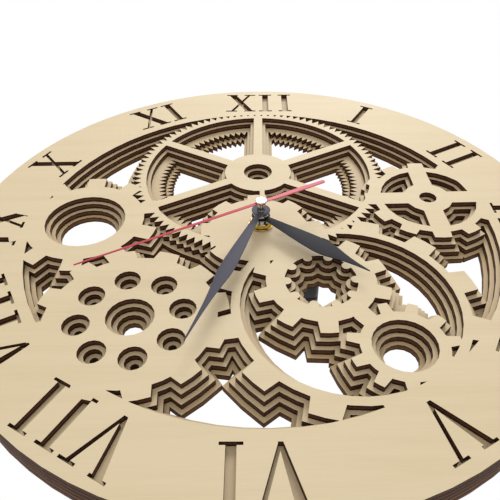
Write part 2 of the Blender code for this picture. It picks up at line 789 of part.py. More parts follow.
def finish(name, mesh, material_name, axis_point=(0.0, 0.0)):
    """Turn a mesh in millimetres into a named object with its origin on an axis.

    The mesh is drawn about the hand axis. The object's origin is put at axis_point, and
    the object is lowered so that the wall hook is at the world origin.
    """
    if mesh.calc_volume(signed=True) < 0.0:
        bmesh.ops.reverse_faces(mesh, faces=mesh.faces[:])
    bmesh.ops.translate(mesh, verts=mesh.verts[:], vec=(-axis_point[0], 0.0, -axis_point[1]))
    bmesh.ops.scale(mesh, verts=mesh.verts[:], vec=(MM, MM, MM))
    data = bpy.data.meshes.new(name)
    mesh.to_mesh(data)
    mesh.free()
    data.shade_smooth()
    data.set_sharp_from_angle(angle=math.radians(35.0))
    data.materials.append(material(material_name))
    made = bpy.data.objects.new(name, data)
    made.location = (axis_point[0] * MM, 0.0, (axis_point[1] - HOOK_HEIGHT) * MM)
    bpy.context.scene.collection.objects.link(made)
    return made


def sheet_part(name, region, span, material_name, axis_point=(0.0, 0.0)):
    """Flat piece of one thickness between the two depths of a span."""
    mesh = flat_sheet(region, span[1] - span[0])
    bmesh.ops.translate(mesh, verts=mesh.verts[:], vec=(0.0, span[0], 0.0))
    return finish(name, mesh, material_name, axis_point)


# Dial


def dial_region(plate):
    """Solid region of one dial plate, counted from the front."""
    growth = STEP * plate
    disc = circle((0.0, 0.0), DIAL_RADIUS)
    arbor_hole = circle((0.0, 0.0), DIAL_HOLE_RADIUS)
    ring_holes = [circle((0.0, 0.0), RING_INNER_RADIUS - growth)]
    if plate == 0:
        ring_holes += numeral_outlines()
    tip = TOP_WHEEL_TIP_RADIUS + growth
    root = tip - TOP_WHEEL_TOOTH_DEPTHS[plate]
    top_outline = zigzag(TOP_WHEEL_CENTRE, TOP_WHEEL_TEETH, root, tip)
    if plate >= FIRST_PLATE_WITH_INNER_TEETH:
        top_outline = circle(TOP_WHEEL_CENTRE, (root + tip) / 2.0)
    top_holes = spoke_windows(
        TOP_WHEEL_CENTRE,
        TOP_WHEEL_HUB_RADIUS,
        TOP_WHEEL_WINDOW_RADIUS,
        TOP_WHEEL_SPOKES,
        TOP_WHEEL_SPOKE_WIDTH,
        TOP_WHEEL_TURN,
        growth,
        11,
    )
    top_holes.append(circle(TOP_WHEEL_CENTRE, TOP_WHEEL_HOLE_RADIUS - growth))
    low_spoke_top = TOP_WHEEL_CENTRE[1] - TOP_WHEEL_HUB_RADIUS
    low_spoke_bottom = HUB_WHEEL_CENTRE[1] + HUB_WHEEL_TIP_RADIUS - HUB_WHEEL_TOOTH_DEPTH
    low_spoke = rectangle(LOW_SPOKE_LEFT, low_spoke_bottom, LOW_SPOKE_RIGHT, low_spoke_top + PLY)
    if plate == 0:
        cut_left = LOW_SPOKE_LEFT - LOW_SPOKE_CUT_WIDTH
        top_holes.append(rectangle(cut_left, low_spoke_bottom, LOW_SPOKE_LEFT, low_spoke_top))
    groups = [group([disc], ring_holes), group([top_outline], top_holes), group([low_spoke])]
    if plate >= FIRST_PLATE_WITH_INNER_TEETH:
        inner_tip = INNER_TEETH_TIP_RADII[plate - FIRST_PLATE_WITH_INNER_TEETH]
        inner = zigzag(TOP_WHEEL_CENTRE, TOP_WHEEL_TEETH, inner_tip, inner_tip + INNER_TEETH_DEPTH)
        groups.append(group([top_outline], [inner]))
    right_holes = spoke_windows(
        RIGHT_WHEEL.centre,
        RIGHT_WHEEL_HUB_RADIUS,
        RIGHT_WHEEL_WINDOW_RADIUS,
        RIGHT_WHEEL_SPOKES,
        RIGHT_WHEEL_SPOKE_WIDTH,
        0.0,
        growth,
        6,
    )
    if RIGHT_WHEEL_HOLE_RADIUS > growth + 1.0:
        right_holes.append(circle(RIGHT_WHEEL.centre, RIGHT_WHEEL_HOLE_RADIUS - growth))
    wheels = (
        (LEFT_WHEEL, [circle(LEFT_WHEEL.centre, LEFT_WHEEL_HOLE_RADIUS - growth)]),
        (
            LOWER_LEFT_WHEEL,
            [circle(LOWER_LEFT_WHEEL.centre, LOWER_LEFT_WHEEL_HOLE_RADIUS - growth)]
            + small_holes(growth),
        ),
        (
            LOWER_RIGHT_RIM,
            [circle(LOWER_RIGHT_RIM.centre, LOWER_RIGHT_RIM_HOLE_RADIUS - growth)],
        ),
        (LOBED_WHEEL, [circle(LOBED_WHEEL.centre, LOBED_HOLE_RADIUS - growth)]),
        (SMALL_WHEEL, [circle(SMALL_WHEEL.centre, SMALL_WHEEL_HOLE_RADIUS - growth)]),
        (RIGHT_WHEEL, right_holes),
    )
    for wheel, holes in wheels:
        groups.append(group(wheel.outlines(growth), holes))
    groups.append(group(lobed_hole_teeth(growth)))
    groups.append(group(HUB_WHEEL.outlines(growth)))
    return [(solids, holes + [arbor_hole]) for solids, holes in groups]


def build_dial():
    """Four dial plates and the ring behind them."""
    names = ("dial_plate_front", "dial_plate_second", "dial_plate_third", "dial_plate_rear")
    for plate, name in enumerate(names):
        front = DIAL_FACE + plate * PLATE_PITCH
        sheet_part(name, dial_region(plate), (front, front + PLY), "birch_plywood")
    ring = group(
        [circle((0.0, 0.0), DIAL_RADIUS)], [circle((0.0, 0.0), BACK_RING_INNER_RADIUS)]
    )
    ring_front = REAR_PLATE_BACK + FIT_GAP
    sheet_part("back_ring", [ring], (ring_front, ring_front + PLY), "birch_plywood")


# Gear train


def arbor_places():
    """Places of the arbors, from the tooth counts and modules of the wheels in mesh."""
    motion = (HOUR_WHEEL_TEETH + MOTION_PINION_TEETH) * HOUR_MODULE / 2.0
    third = (CENTRE_WHEEL_TEETH + THIRD_PINION_TEETH) * CENTRE_MODULE / 2.0
    step = (SECOND_WHEEL_TEETH + STEP_PINION_TEETH) * SECOND_MODULE / 2.0
    rotor = (STEP_WHEEL_TEETH + ROTOR_PINION_TEETH) * STEP_MODULE / 2.0
    step_place = polar((0.0, 0.0), step, STEP_ARBOR_ANGLE)
    return {
        "motion": (motion, 0.0),
        "third": polar((0.0, 0.0), third, THIRD_ARBOR_ANGLE),
        "step": step_place,
        "rotor": polar(step_place, rotor, ROTOR_FROM_STEP_ANGLE),
    }


def gear_outline(centre, teeth, module, turn):
    """Outline of a train wheel with pointed teeth; turn is the angle of one tooth.

    Pinions have slimmer teeth, so that they run free in the gaps of the larger wheels.
    """
    radius = teeth * module / 2.0
    root = radius - 1.05 * module
    tip = radius + 0.75 * module
    pitch = 360.0 / teeth
    if teeth >= FINE_TEETH:
        return zigzag(centre, teeth, root, tip, turn - pitch / 2.0)
    half_tooth = 0.29 * pitch
    outline = []
    for i in range(teeth):
        angle = turn + pitch * i
        outline.append(polar(centre, root, angle - half_tooth))
        outline.append(polar(centre, tip, angle))
        outline.append(polar(centre, root, angle + half_tooth))
    return outline


def meshing_turn(teeth, towards, other_teeth, other_turn):
    """Turn of a wheel so that a gap faces a tooth of the wheel that it meshes with.

    towards is the angle from this wheel's centre to the other wheel's centre.
    """
    other_pitch = 360.0 / other_teeth
    back = towards + 180.0 - other_turn
    phase = (back / other_pitch) % 1.0
    pitch = 360.0 / teeth
    return towards + pitch * (phase + 0.5)


def tube_levels(spans_and_regions):
    """Levels of a stepped solid from spans that meet end to end."""
    return [(span, region) for span, region in spans_and_regions if span[1] - span[0] > 1e-6]


def build_hour_wheel():
    """Hour wheel and the tube that carries the hour hand."""
    bore = circle((0.0, 0.0), MINUTE_TUBE_RADIUS + TUBE_CLEARANCE)
    tube = [group([circle((0.0, 0.0), HOUR_TUBE_RADIUS)], [bore])]
    wheel = [group([gear_outline((0.0, 0.0), HOUR_WHEEL_TEETH, HOUR_MODULE, 0.0)], [bore])]
    tube_front = HOUR_COLLAR_SPAN[0]
    levels = tube_levels((((tube_front, HOUR_LEVEL[0]), tube), (HOUR_LEVEL, wheel)))
    finish("hour_wheel", stepped_solid(levels), "white_plastic")


def build_centre_wheel():
    """Centre wheel, minute pinion and the tube that carries the minute hand."""
    bore = circle((0.0, 0.0), SECOND_SHAFT_RADIUS + TUBE_CLEARANCE)
    tube = [group([circle((0.0, 0.0), MINUTE_TUBE_RADIUS)], [bore])]
    pinion_outline = gear_outline((0.0, 0.0), MINUTE_PINION_TEETH, MOTION_MODULE, 0.0)
    pinion = [group([pinion_outline], [bore])]
    wheel = [group([gear_outline((0.0, 0.0), CENTRE_WHEEL_TEETH, CENTRE_MODULE, 0.0)], [bore])]
    levels = tube_levels(
        (
            ((MINUTE_HAND_SPAN[0], MOTION_LEVEL[0]), tube),
            (MOTION_LEVEL, pinion),
            ((MOTION_LEVEL[1], CENTRE_LEVEL[0]), tube),
            (CENTRE_LEVEL, wheel),
        )
    )
    finish("centre_wheel", stepped_solid(levels), "white_plastic")


def build_second_wheel():
    """Second wheel, its pinion and the shaft that carries the second hand."""
    shaft = [group([circle((0.0, 0.0), SECOND_SHAFT_RADIUS)])]
    pinion = [group([gear_outline((0.0, 0.0), SECOND_PINION_TEETH, THIRD_MODULE, 0.0)])]
    wheel = [group([gear_outline((0.0, 0.0), SECOND_WHEEL_TEETH, SECOND_MODULE, 0.0)])]
    shaft_front = SECOND_HAND_SPAN[0]
    levels = tube_levels(
        (
            ((shaft_front, THIRD_LEVEL[0]), shaft),
            (THIRD_LEVEL, pinion),
            ((THIRD_LEVEL[1], SECOND_LEVEL[0]), shaft),
            (SECOND_LEVEL, wheel),
            ((SECOND_LEVEL[1], ARBOR_BACK), shaft),
        )
    )
    finish("second_wheel", stepped_solid(levels), "white_plastic")


def build_train_wheel(name, place, pinion, pinion_level, wheel, wheel_level, front, back, arbor_radius):
    """Wheel and pinion on one arbor; pinion and wheel are (teeth, module, turn).

    Either of them may be the one nearer the dial.
    """
    arbor = [group([circle(place, arbor_radius)])]
    first, second = sorted(((pinion_level, pinion), (wheel_level, wheel)))
    levels = tube_levels(
        (
            ((front, first[0][0]), arbor),
            (first[0], [group([gear_outline(place, *first[1])])]),
            ((first[0][1], second[0][0]), arbor),
            (second[0], [group([gear_outline(place, *second[1])])]),
            ((second[0][1], back), arbor),
        )
    )
    finish(name, stepped_solid(levels), "white_plastic", place)


def build_train():
    """Wheels from the rotor to the hour hand."""
    places = arbor_places()
    build_hour_wheel()
    build_centre_wheel()
    build_second_wheel()
    motion_towards = 180.0
    motion_pinion_turn = meshing_turn(MOTION_PINION_TEETH, motion_towards, HOUR_WHEEL_TEETH, 0.0)
    motion_wheel_turn = meshing_turn(MOTION_WHEEL_TEETH, motion_towards, MINUTE_PINION_TEETH, 0.0)
    build_train_wheel(
        "motion_wheel",
        places["motion"],
        (MOTION_PINION_TEETH, HOUR_MODULE, motion_pinion_turn),
        HOUR_LEVEL,
        (MOTION_WHEEL_TEETH, MOTION_MODULE, motion_wheel_turn),
        MOTION_LEVEL,
        TRAIN_FRONT,
        BRIDGE_SPAN[1],
        SETTING_ARBOR_RADIUS,
    )
    third_towards = THIRD_ARBOR_ANGLE + 180.0
    third_pinion_turn = meshing_turn(THIRD_PINION_TEETH, third_towards, CENTRE_WHEEL_TEETH, 0.0)
    third_wheel_turn = meshing_turn(THIRD_WHEEL_TEETH, third_towards, SECOND_PINION_TEETH, 0.0)
    build_train_wheel(
        "third_wheel",
        places["third"],
        (THIRD_PINION_TEETH, CENTRE_MODULE, third_pinion_turn),
        CENTRE_LEVEL,
        (THIRD_WHEEL_TEETH, THIRD_MODULE, third_wheel_turn),
        THIRD_LEVEL,
        TRAIN_FRONT,
        ARBOR_BACK,
        ARBOR_RADIUS,
    )
    step_towards = STEP_ARBOR_ANGLE + 180.0
    step_pinion_turn = meshing_turn(STEP_PINION_TEETH, step_towards, SECOND_WHEEL_TEETH, 0.0)
    step_wheel_turn = 0.0
    build_train_wheel(
        "step_wheel",
        places["step"],
        (STEP_PINION_TEETH, SECOND_MODULE, step_pinion_turn),
        SECOND_LEVEL,
        (STEP_WHEEL_TEETH, STEP_MODULE, step_wheel_turn),
        STEP_LEVEL,
        TRAIN_FRONT,
        ARBOR_BACK,
        ARBOR_RADIUS,
    )
    rotor_towards = ROTOR_FROM_STEP_ANGLE + 180.0
    rotor_turn = meshing_turn(ROTOR_PINION_TEETH, rotor_towards, STEP_WHEEL_TEETH, step_wheel_turn)
    arbor = [group([circle(places["rotor"], ARBOR_RADIUS)])]
    pinion = [group([gear_outline(places["rotor"], ROTOR_PINION_TEETH, STEP_MODULE, rotor_turn)])]
    rotor_levels = (
        ((TRAIN_FRONT, STEP_LEVEL[0]), arbor),
        (STEP_LEVEL, pinion),
        ((STEP_LEVEL[1], ARBOR_BACK), arbor),
    )
    finish("rotor_pinion", stepped_solid(rotor_levels), "white_plastic", places["rotor"])
    magnet = group(
        [circle(places["rotor"], ROTOR_RADIUS)],
        [circle(places["rotor"], ARBOR_RADIUS + FIT_GAP)],
    )
    sheet_part("rotor_magnet", [magnet], ROTOR_SPAN, "magnet", places["rotor"])
    knob_span = (BRIDGE_SPAN[1] + FIT_GAP, BRIDGE_SPAN[1] + FIT_GAP + KNOB_THICKNESS)
    knob_outline = zigzag(places["motion"], KNOB_RIBS, KNOB_RADIUS - KNOB_RIB_DEPTH, KNOB_RADIUS)
    knob = group([knob_outline])
    sheet_part("setting_knob", [knob], knob_span, "black_plastic", places["motion"])


# Motor and electronics


def build_motor():
    """Bridge, stator, coil and its core."""
    places = arbor_places()
    top = COIL_CENTRE_HEIGHT - COIL_RADIUS - COIL_FLANGE_GAP
    hole = [circle(places[key], ARBOR_RADIUS + FIT_GAP) for key in ("third", "step", "rotor")]
    hole.append(circle(places["motion"], SETTING_ARBOR_RADIUS + FIT_GAP))
    hole.append(circle((0.0, 0.0), SECOND_SHAFT_RADIUS + FIT_GAP))
    plate = group([rectangle(-BRIDGE_HALF_WIDTH, BRIDGE_BOTTOM, BRIDGE_HALF_WIDTH, top)], hole)
    post_side = BRIDGE_HALF_WIDTH - POST_RADIUS
    posts = [
        circle((x, z), POST_RADIUS)
        for x in (-post_side, post_side)
        for z in (BRIDGE_BOTTOM + POST_RADIUS, top - POST_RADIUS)
    ]
    levels = (((TRAIN_FRONT, BRIDGE_SPAN[0]), [group(posts)]), (BRIDGE_SPAN, [plate]))
    finish("train_bridge", stepped_solid(levels), "black_plastic")

    rotor = places["rotor"]
    leg_top = COIL_CENTRE_HEIGHT + COIL_CORE_HEIGHT / 2.0 + STATOR_PAST_CORE
    band_bottom = rotor[1] + ROTOR_RADIUS - STATOR_BAND_OVERLAP
    band_top = band_bottom + STATOR_BAND
    left = STATOR_LEFT
    right = rotor[0] + ROTOR_RADIUS + STATOR_POLE_WALL
    pole_left = rotor[0] - ROTOR_RADIUS - STATOR_POLE_WALL
    pole_bottom = rotor[1] - ROTOR_RADIUS - STATOR_POLE_WALL
    stator_outlines = [
        rectangle(pole_left, pole_bottom, right, band_top),
        rectangle(left, band_bottom, right, band_top),
        rectangle(left, band_bottom, left + STATOR_LEG, leg_top),
        rectangle(right - STATOR_LEG, pole_bottom, right, leg_top),
    ]
    stator_region = [group(stator_outlines, [circle(rotor, ROTOR_RADIUS + STATOR_ROTOR_GAP)])]
    sheet_part("stator", stator_region, STATOR_SPAN, "steel_sheet")

    half_core = COIL_CORE_HEIGHT / 2.0
    core = group(
        [rectangle(left, COIL_CENTRE_HEIGHT - half_core, right, COIL_CENTRE_HEIGHT + half_core)]
    )
    sheet_part("coil_core", [core], CORE_SPAN, "steel_sheet")
    build_coil(left, right)


def build_coil(left, right):
    """Plastic bobbin round the core, and the winding on it."""
    middle = (left + right) / 2.0
    centre_y = (CORE_SPAN[0] + CORE_SPAN[1]) / 2.0
    half_core = COIL_CORE_HEIGHT / 2.0
    half_length = COIL_LENGTH / 2.0
    inner_y = STATOR_SHEET / 2.0 + FIT_GAP
    inner_z = half_core + FIT_GAP
    wall = BOBBIN_WALL
    place = (middle, centre_y, COIL_CENTRE_HEIGHT)

    def section(half_y, half_z):
        """Rectangle round the core, across the coil."""
        return rectangle(-half_y, -half_z, half_y, half_z)

    hole = section(inner_y, inner_z)
    tube = section(inner_y + wall, inner_z + wall)
    flange = section(COIL_RADIUS - BOBBIN_WALL / 3.0, COIL_RADIUS)
    bobbin = stepped_solid(
        (
            ((-half_length, -half_length + BOBBIN_FLANGE), [group([flange], [hole])]),
            ((-half_length + BOBBIN_FLANGE, half_length - BOBBIN_FLANGE), [group([tube], [hole])]),
            ((half_length - BOBBIN_FLANGE, half_length), [group([flange], [hole])]),
        )
    )
    winding_end = half_length - BOBBIN_FLANGE - FIT_GAP
    wire_hole = section(inner_y + wall + FIT_GAP, inner_z + wall + FIT_GAP)
    winding = stepped_solid(
        (
            (
                (-winding_end, winding_end),
                [group([circle((0.0, 0.0), COIL_RADIUS - WINDING_BELOW_FLANGE)], [wire_hole])],
            ),
        )
    )
    for name, mesh, finish_name in (
        ("coil_bobbin", bobbin, "white_plastic"),
        ("coil_winding", winding, "copper_wire"),
    ):
        for vert in mesh.verts:
            across, along, height = vert.co
            vert.co = (place[0] + along, place[1] + across, place[2] + height)
        bmesh.ops.recalc_face_normals(mesh, faces=mesh.faces[:])
        finish(name, mesh, finish_name)


def bay_limits():
    """Left, bottom, right and top of the battery bay."""
    half = MOVEMENT_SIZE / 2.0 - CASE_WALL
    return (-half, -half, half, -half + BATTERY_BAY_HEIGHT)


def build_electronics():
    """Circuit board, chip, crystal, contacts and battery."""
    left, bottom, right, bay_top = bay_limits()
    board_outline = rectangle(left + BOARD_MARGIN, bay_top - BOARD_OVER_WALL, BOARD_RIGHT, BOARD_TOP)
    board = group([board_outline])
    sheet_part("circuit_board", [board], BOARD_SPAN, "green_board")
    chip_span = (BOARD_SPAN[1] + FIT_GAP, BOARD_SPAN[1] + FIT_GAP + CHIP_THICKNESS)
    chip_outline = rectangle(
        CHIP_CENTRE[0] - CHIP_SIZE / 2.0,
        CHIP_CENTRE[1] - CHIP_SIZE / 2.0,
        CHIP_CENTRE[0] + CHIP_SIZE / 2.0,
        CHIP_CENTRE[1] + CHIP_SIZE / 2.0,
    )
    sheet_part("clock_chip", [group([chip_outline])], chip_span, "black_plastic")
    crystal_y = BOARD_SPAN[0] - FIT_GAP - CRYSTAL_RADIUS
    crystal = turned_solid(
        [
            (0.0, -CRYSTAL_LENGTH / 2.0),
            (CRYSTAL_RADIUS, -CRYSTAL_LENGTH / 2.0),
            (CRYSTAL_RADIUS, CRYSTAL_LENGTH / 2.0),
            (0.0, CRYSTAL_LENGTH / 2.0),
        ],
        12,
        "Z",
        (CRYSTAL_CENTRE[0], crystal_y, CRYSTAL_CENTRE[1]),
    )
    finish("quartz_crystal", crystal, "nickel_plate")

    contact_right = right - CONTACT_MARGIN
    contact_left = left + CONTACT_MARGIN
    strip_back = BOARD_SPAN[0] - FIT_GAP
    strip_span = (strip_back - CONTACT_SHEET, strip_back)
    contact_front = CASE_FRONT + CASE_PLATE + CONTACT_FROM_FRONT
    low = bottom + CONTACT_FROM_BOTTOM
    high = bay_top - CONTACT_BELOW_WALL
    strip_low = bay_top - CONTACT_STRIP_OVERLAP
    strip_high = strip_low + CONTACT_STRIP_WIDTH
    plus_plate = rectangle(contact_right - CONTACT_SHEET, low, contact_right, high)
    plus_riser = rectangle(contact_right - CONTACT_SHEET, low, contact_right, strip_high)
    plus_strip = rectangle(PLUS_STRIP_END, strip_low, contact_right, strip_high)
    plus_levels = (
        ((contact_front, strip_span[0]), [group([plus_plate])]),
        (strip_span, [group([plus_riser, plus_strip])]),
    )
    finish("contact_plus", stepped_solid(plus_levels), "nickel_plate")

    bay_middle = (bottom + bay_top) / 2.0
    bend = contact_left + CONTACT_SHEET + MINUS_BULGE
    leaf = [
        (contact_left + CONTACT_SHEET / 2.0, bay_middle - MINUS_BULGE_FOOT),
        (bend, bay_middle - MINUS_BULGE_TOP),
        (bend, bay_middle + MINUS_BULGE_TOP),
        (contact_left + CONTACT_SHEET / 2.0, bay_middle + MINUS_BULGE_FOOT),
    ]
    minus_plate = rectangle(contact_left, low, contact_left + CONTACT_SHEET, high)
    minus_riser = rectangle(contact_left, low, contact_left + CONTACT_SHEET, strip_high)
    minus_strip = rectangle(
        contact_left, strip_low, contact_left + MINUS_STRIP_LENGTH, strip_high
    )
    minus_levels = (
        ((contact_front, strip_span[0]), [group([minus_plate, leaf])]),
        (strip_span, [group([minus_riser, minus_strip])]),
    )
    finish("contact_minus", stepped_solid(minus_levels), "nickel_plate")

    battery_y = CASE_FRONT + CASE_PLATE + FIT_GAP + BATTERY_RADIUS
    start = bend + FIT_GAP
    end = start + BATTERY_LENGTH
    battery = turned_solid(
        [
            (0.0, start),
            (BATTERY_RADIUS - BATTERY_SHOULDER, start),
            (BATTERY_RADIUS, start + BATTERY_SHOULDER),
            (BATTERY_RADIUS, end - BATTERY_SHOULDER),
            (BATTERY_RADIUS - BATTERY_SHOULDER, end),
            (BATTERY_NUB_RADIUS, end),
            (BATTERY_NUB_RADIUS, end + BATTERY_NUB_LENGTH),
            (0.0, end + BATTERY_NUB_LENGTH),
        ],
        24,
        "X",
        (0.0, battery_y, bay_middle),
    )
    finish("battery", battery, "battery_wrap")


# Case, hanger and fastening


def build_case():
    """Front case with its battery wall, and the rear cover."""
    places = arbor_places()
    half = MOVEMENT_SIZE / 2.0
    left, bottom, right, bay_top = bay_limits()
    outer = rounded_square(half, CASE_CORNER_RADIUS)
    inner = rounded_square(half - CASE_WALL, CASE_CORNER_RADIUS - CASE_WALL)
    bush_hole = circle((0.0, 0.0), BUSH_RADIUS + FIT_GAP)
    partition = rectangle(left - CASE_WALL / 2.0, bay_top, right + CASE_WALL / 2.0, bay_top + CASE_PLATE)
    wall_region = [group([outer], [inner]), group([partition])]
    front_levels = (
        ((CASE_FRONT, CASE_FRONT + CASE_PLATE), [group([outer], [bush_hole])]),
        ((CASE_FRONT + CASE_PLATE, -CASE_SPLIT_DEPTH), wall_region),
    )
    finish("front_case", stepped_solid(front_levels), "black_plastic")
    knob_hole = circle(places["motion"], KNOB_RADIUS + FIT_GAP)
    bay = rectangle(left + 0.5, bottom + 0.2, right - 0.5, bay_top - 0.3)
    rear_levels = (
        ((-CASE_SPLIT_DEPTH + FIT_GAP, -CASE_PLATE), [group([outer], [inner])]),
        ((-CASE_PLATE, 0.0), [group([outer], [knob_hole, bay])]),
    )
    finish("rear_cover", stepped_solid(rear_levels), "black_plastic")


def build_hanger():
    """Bent steel hanger: foot on the bush, arm over the case, tab with the hook hole."""
    half = HANGER_WIDTH / 2.0
    case_top = MOVEMENT_SIZE / 2.0
    arm = (case_top + FIT_GAP, case_top + FIT_GAP + HANGER_SHEET)
    foot = group(
        [rectangle(-half, -HANGER_FOOT, half, arm[1])],
        [circle((0.0, 0.0), BUSH_RADIUS + FIT_GAP)],
    )
    arm_region = group([rectangle(-half, arm[0], half, arm[1])])
    hole_centre = (0.0, HOOK_HEIGHT - HOOK_HOLE_RADIUS + NAIL_RADIUS)
    tab_outline = [
        (-half, arm[0]),
        (half, arm[0]),
        (half, arm[0] + HANGER_TAB_HEIGHT * 0.45),
        (half * 0.5, arm[0] + HANGER_TAB_HEIGHT),
        (-half * 0.5, arm[0] + HANGER_TAB_HEIGHT),
        (-half, arm[0] + HANGER_TAB_HEIGHT * 0.45),
    ]
    tab = group([tab_outline], [circle(hole_centre, HOOK_HOLE_RADIUS)])
    levels = (
        (HANGER_SPAN, [foot]),
        ((HANGER_SPAN[1], -FIT_GAP - HANGER_SHEET), [arm_region]),
        ((-FIT_GAP - HANGER_SHEET, -FIT_GAP), [tab]),
    )
    finish("hanger", stepped_solid(levels), "steel_sheet")


def build_fastening():
    """Threaded bush, rubber washer, brass washer and nut."""
    inner = HOUR_TUBE_RADIUS + TUBE_CLEARANCE
    back = CASE_FRONT + CASE_PLATE
    thread_back = NUT_SPAN[0] + THREAD_PITCH
    profile = [(inner, back), (inner, BUSH_FRONT), (BUSH_RADIUS - THREAD_DEPTH, BUSH_FRONT)]
    depth = BUSH_FRONT
    while depth + THREAD_PITCH < thread_back:
        profile.append((BUSH_RADIUS, depth + THREAD_PITCH * 0.5))
        profile.append((BUSH_RADIUS - THREAD_DEPTH, depth + THREAD_PITCH))
        depth += THREAD_PITCH
    profile.append((BUSH_RADIUS, thread_back))
    profile.append((BUSH_RADIUS, back))
    finish("threaded_bush", turned_solid(profile, 20), "nickel_plate")

    bush_clearance = circle((0.0, 0.0), BUSH_RADIUS + FIT_GAP)
    rubber = group([circle((0.0, 0.0), RUBBER_WASHER_RADIUS)], [bush_clearance])
    sheet_part("rubber_washer", [rubber], RUBBER_SPAN, "rubber")
    washer = group([circle((0.0, 0.0), BRASS_WASHER_RADIUS)], [bush_clearance])
    sheet_part("brass_washer", [washer], WASHER_SPAN, "brass")
    corner = NUT_ACROSS_FLATS / 2.0 / math.cos(math.radians(30.0))
    hexagon = [polar((0.0, 0.0), corner, 60.0 * i) for i in range(6)]
    low_hexagon = [polar((0.0, 0.0), corner - NUT_CHAMFER, 60.0 * i) for i in range(6)]
    chamfer_back = NUT_SPAN[0] + NUT_CHAMFER * 0.5
    nut_levels = (
        ((NUT_SPAN[0], chamfer_back), [group([low_hexagon], [bush_clearance])]),
        ((chamfer_back, NUT_SPAN[1]), [group([hexagon], [bush_clearance])]),
    )
    finish("hex_nut", stepped_solid(nut_levels), "brass")


# Hands


def turned_outline(outline, degrees):
    """Outline turned about the hand axis."""
    turn = math.radians(degrees)
    return [
        (x * math.cos(turn) - z * math.sin(turn), x * math.sin(turn) + z * math.cos(turn))
        for x, z in outline
    ]


def lance_outline(length, width, stations):
    """Lance-shaped blade along +X; stations are (share of length, share of width)."""
    upper = [(length * along, width * across / 2.0) for along, across in stations]
    lower = [(x, -z) for x, z in upper]
    return lower + [(length, 0.0)] + upper[::-1]


def build_hands():
    """Hour, minute and second hands with their collars."""
    hour_bore = circle((0.0, 0.0), HOUR_TUBE_RADIUS + FIT_GAP)
    hour_blade = lance_outline(
        HOUR_HAND_LENGTH,
        HOUR_HAND_WIDTH,
        ((0.04, 0.36), (0.2, 0.56), (0.38, 0.86), (0.56, 1.0), (0.64, 0.66), (0.76, 0.22), (0.88, 0.12)),
    )
    eye = circle((0.0, 0.0), HAND_EYE_RADIUS)
    hour_region = [group([eye, turned_outline(hour_blade, HOUR_HAND_ANGLE)], [hour_bore])]
    sheet_part("hour_hand", hour_region, HOUR_HAND_SPAN, "black_paint")
    hour_collar = group([circle((0.0, 0.0), HOUR_COLLAR_RADIUS)], [hour_bore])
    sheet_part("hour_hand_collar", [hour_collar], HOUR_COLLAR_SPAN, "nickel_plate")

    minute_bore = circle((0.0, 0.0), MINUTE_TUBE_RADIUS + FIT_GAP)
    minute_blade = lance_outline(
        MINUTE_HAND_LENGTH,
        MINUTE_HAND_WIDTH,
        ((0.03, 0.36), (0.16, 0.5), (0.33, 0.78), (0.52, 1.0), (0.6, 0.72), (0.7, 0.42), (0.84, 0.2)),
    )
    minute_region = [group([eye, turned_outline(minute_blade, MINUTE_HAND_ANGLE)], [minute_bore])]
    sheet_part("minute_hand", minute_region, MINUTE_HAND_SPAN, "black_paint")
    minute_collar = group([circle((0.0, 0.0), MINUTE_COLLAR_RADIUS)], [minute_bore])
    sheet_part("minute_hand_collar", [minute_collar], MINUTE_COLLAR_SPAN, "nickel_plate")

    barrel_bore = circle((0.0, 0.0), SECOND_BARREL_RADIUS + FIT_GAP)
    tail_end = (-SECOND_HAND_TAIL + SECOND_HAND_TAIL_WIDTH * 0.4, 0.0)
    tail_round = [polar(tail_end, SECOND_HAND_TAIL_WIDTH * 0.4, a) for a in spread(90.0, 270.0, 9)]
    upper = [
        (SECOND_HAND_LENGTH, SECOND_HAND_TIP_WIDTH / 2.0),
        (0.0, SECOND_HAND_WIDTH / 2.0),
        (-SECOND_HAND_TAIL * 0.45, SECOND_HAND_TAIL_WIDTH / 2.0),
    ]
    needle = upper + tail_round + [(x, -z) for x, z in upper[::-1]]
    second_eye = circle((0.0, 0.0), SECOND_CAP_RADIUS - 0.2)
    second_region = [group([second_eye, turned_outline(needle, SECOND_HAND_ANGLE)], [barrel_bore])]
    sheet_part("second_hand", second_region, SECOND_HAND_SPAN, "red_paint")
    bore = SECOND_SHAFT_RADIUS + FIT_GAP
    front, back = BARREL_SPAN
    boss = turned_solid(
        [
            (0.0, front),
            (SECOND_CAP_RADIUS - SECOND_CAP_ROUND, front),
            (SECOND_CAP_RADIUS, front + SECOND_CAP_ROUND),
            (SECOND_CAP_RADIUS, CAP_BACK),
            (SECOND_BARREL_RADIUS, CAP_BACK),
            (SECOND_BARREL_RADIUS, back),
            (bore, back),
            (bore, SECOND_HAND_SPAN[0] - FIT_GAP),
            (0.0, SECOND_HAND_SPAN[0] - FIT_GAP),
        ],
        20,
    )
    finish("second_hand_boss", boss, "nickel_plate")


def main():
    """Build the whole clock."""
    clear_scene()
    build_dial()
    build_case()
    build_hanger()
    build_fastening()
    build_train()
    build_motor()
    build_electronics()
    build_hands()


main()
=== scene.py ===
"""Visual model of the wooden wall clock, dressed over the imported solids.

The dial is a glued stack of laser-cut birch plywood plates. Three pressed hands, their
collars and the brass nut sit in its middle, and a black plastic quartz movement hangs
behind it. Everything is in metres, the dial faces -Y and +Z is up.
"""

import logging
import math
from collections.abc import Callable, Sequence
from dataclasses import dataclass
from enum import Enum

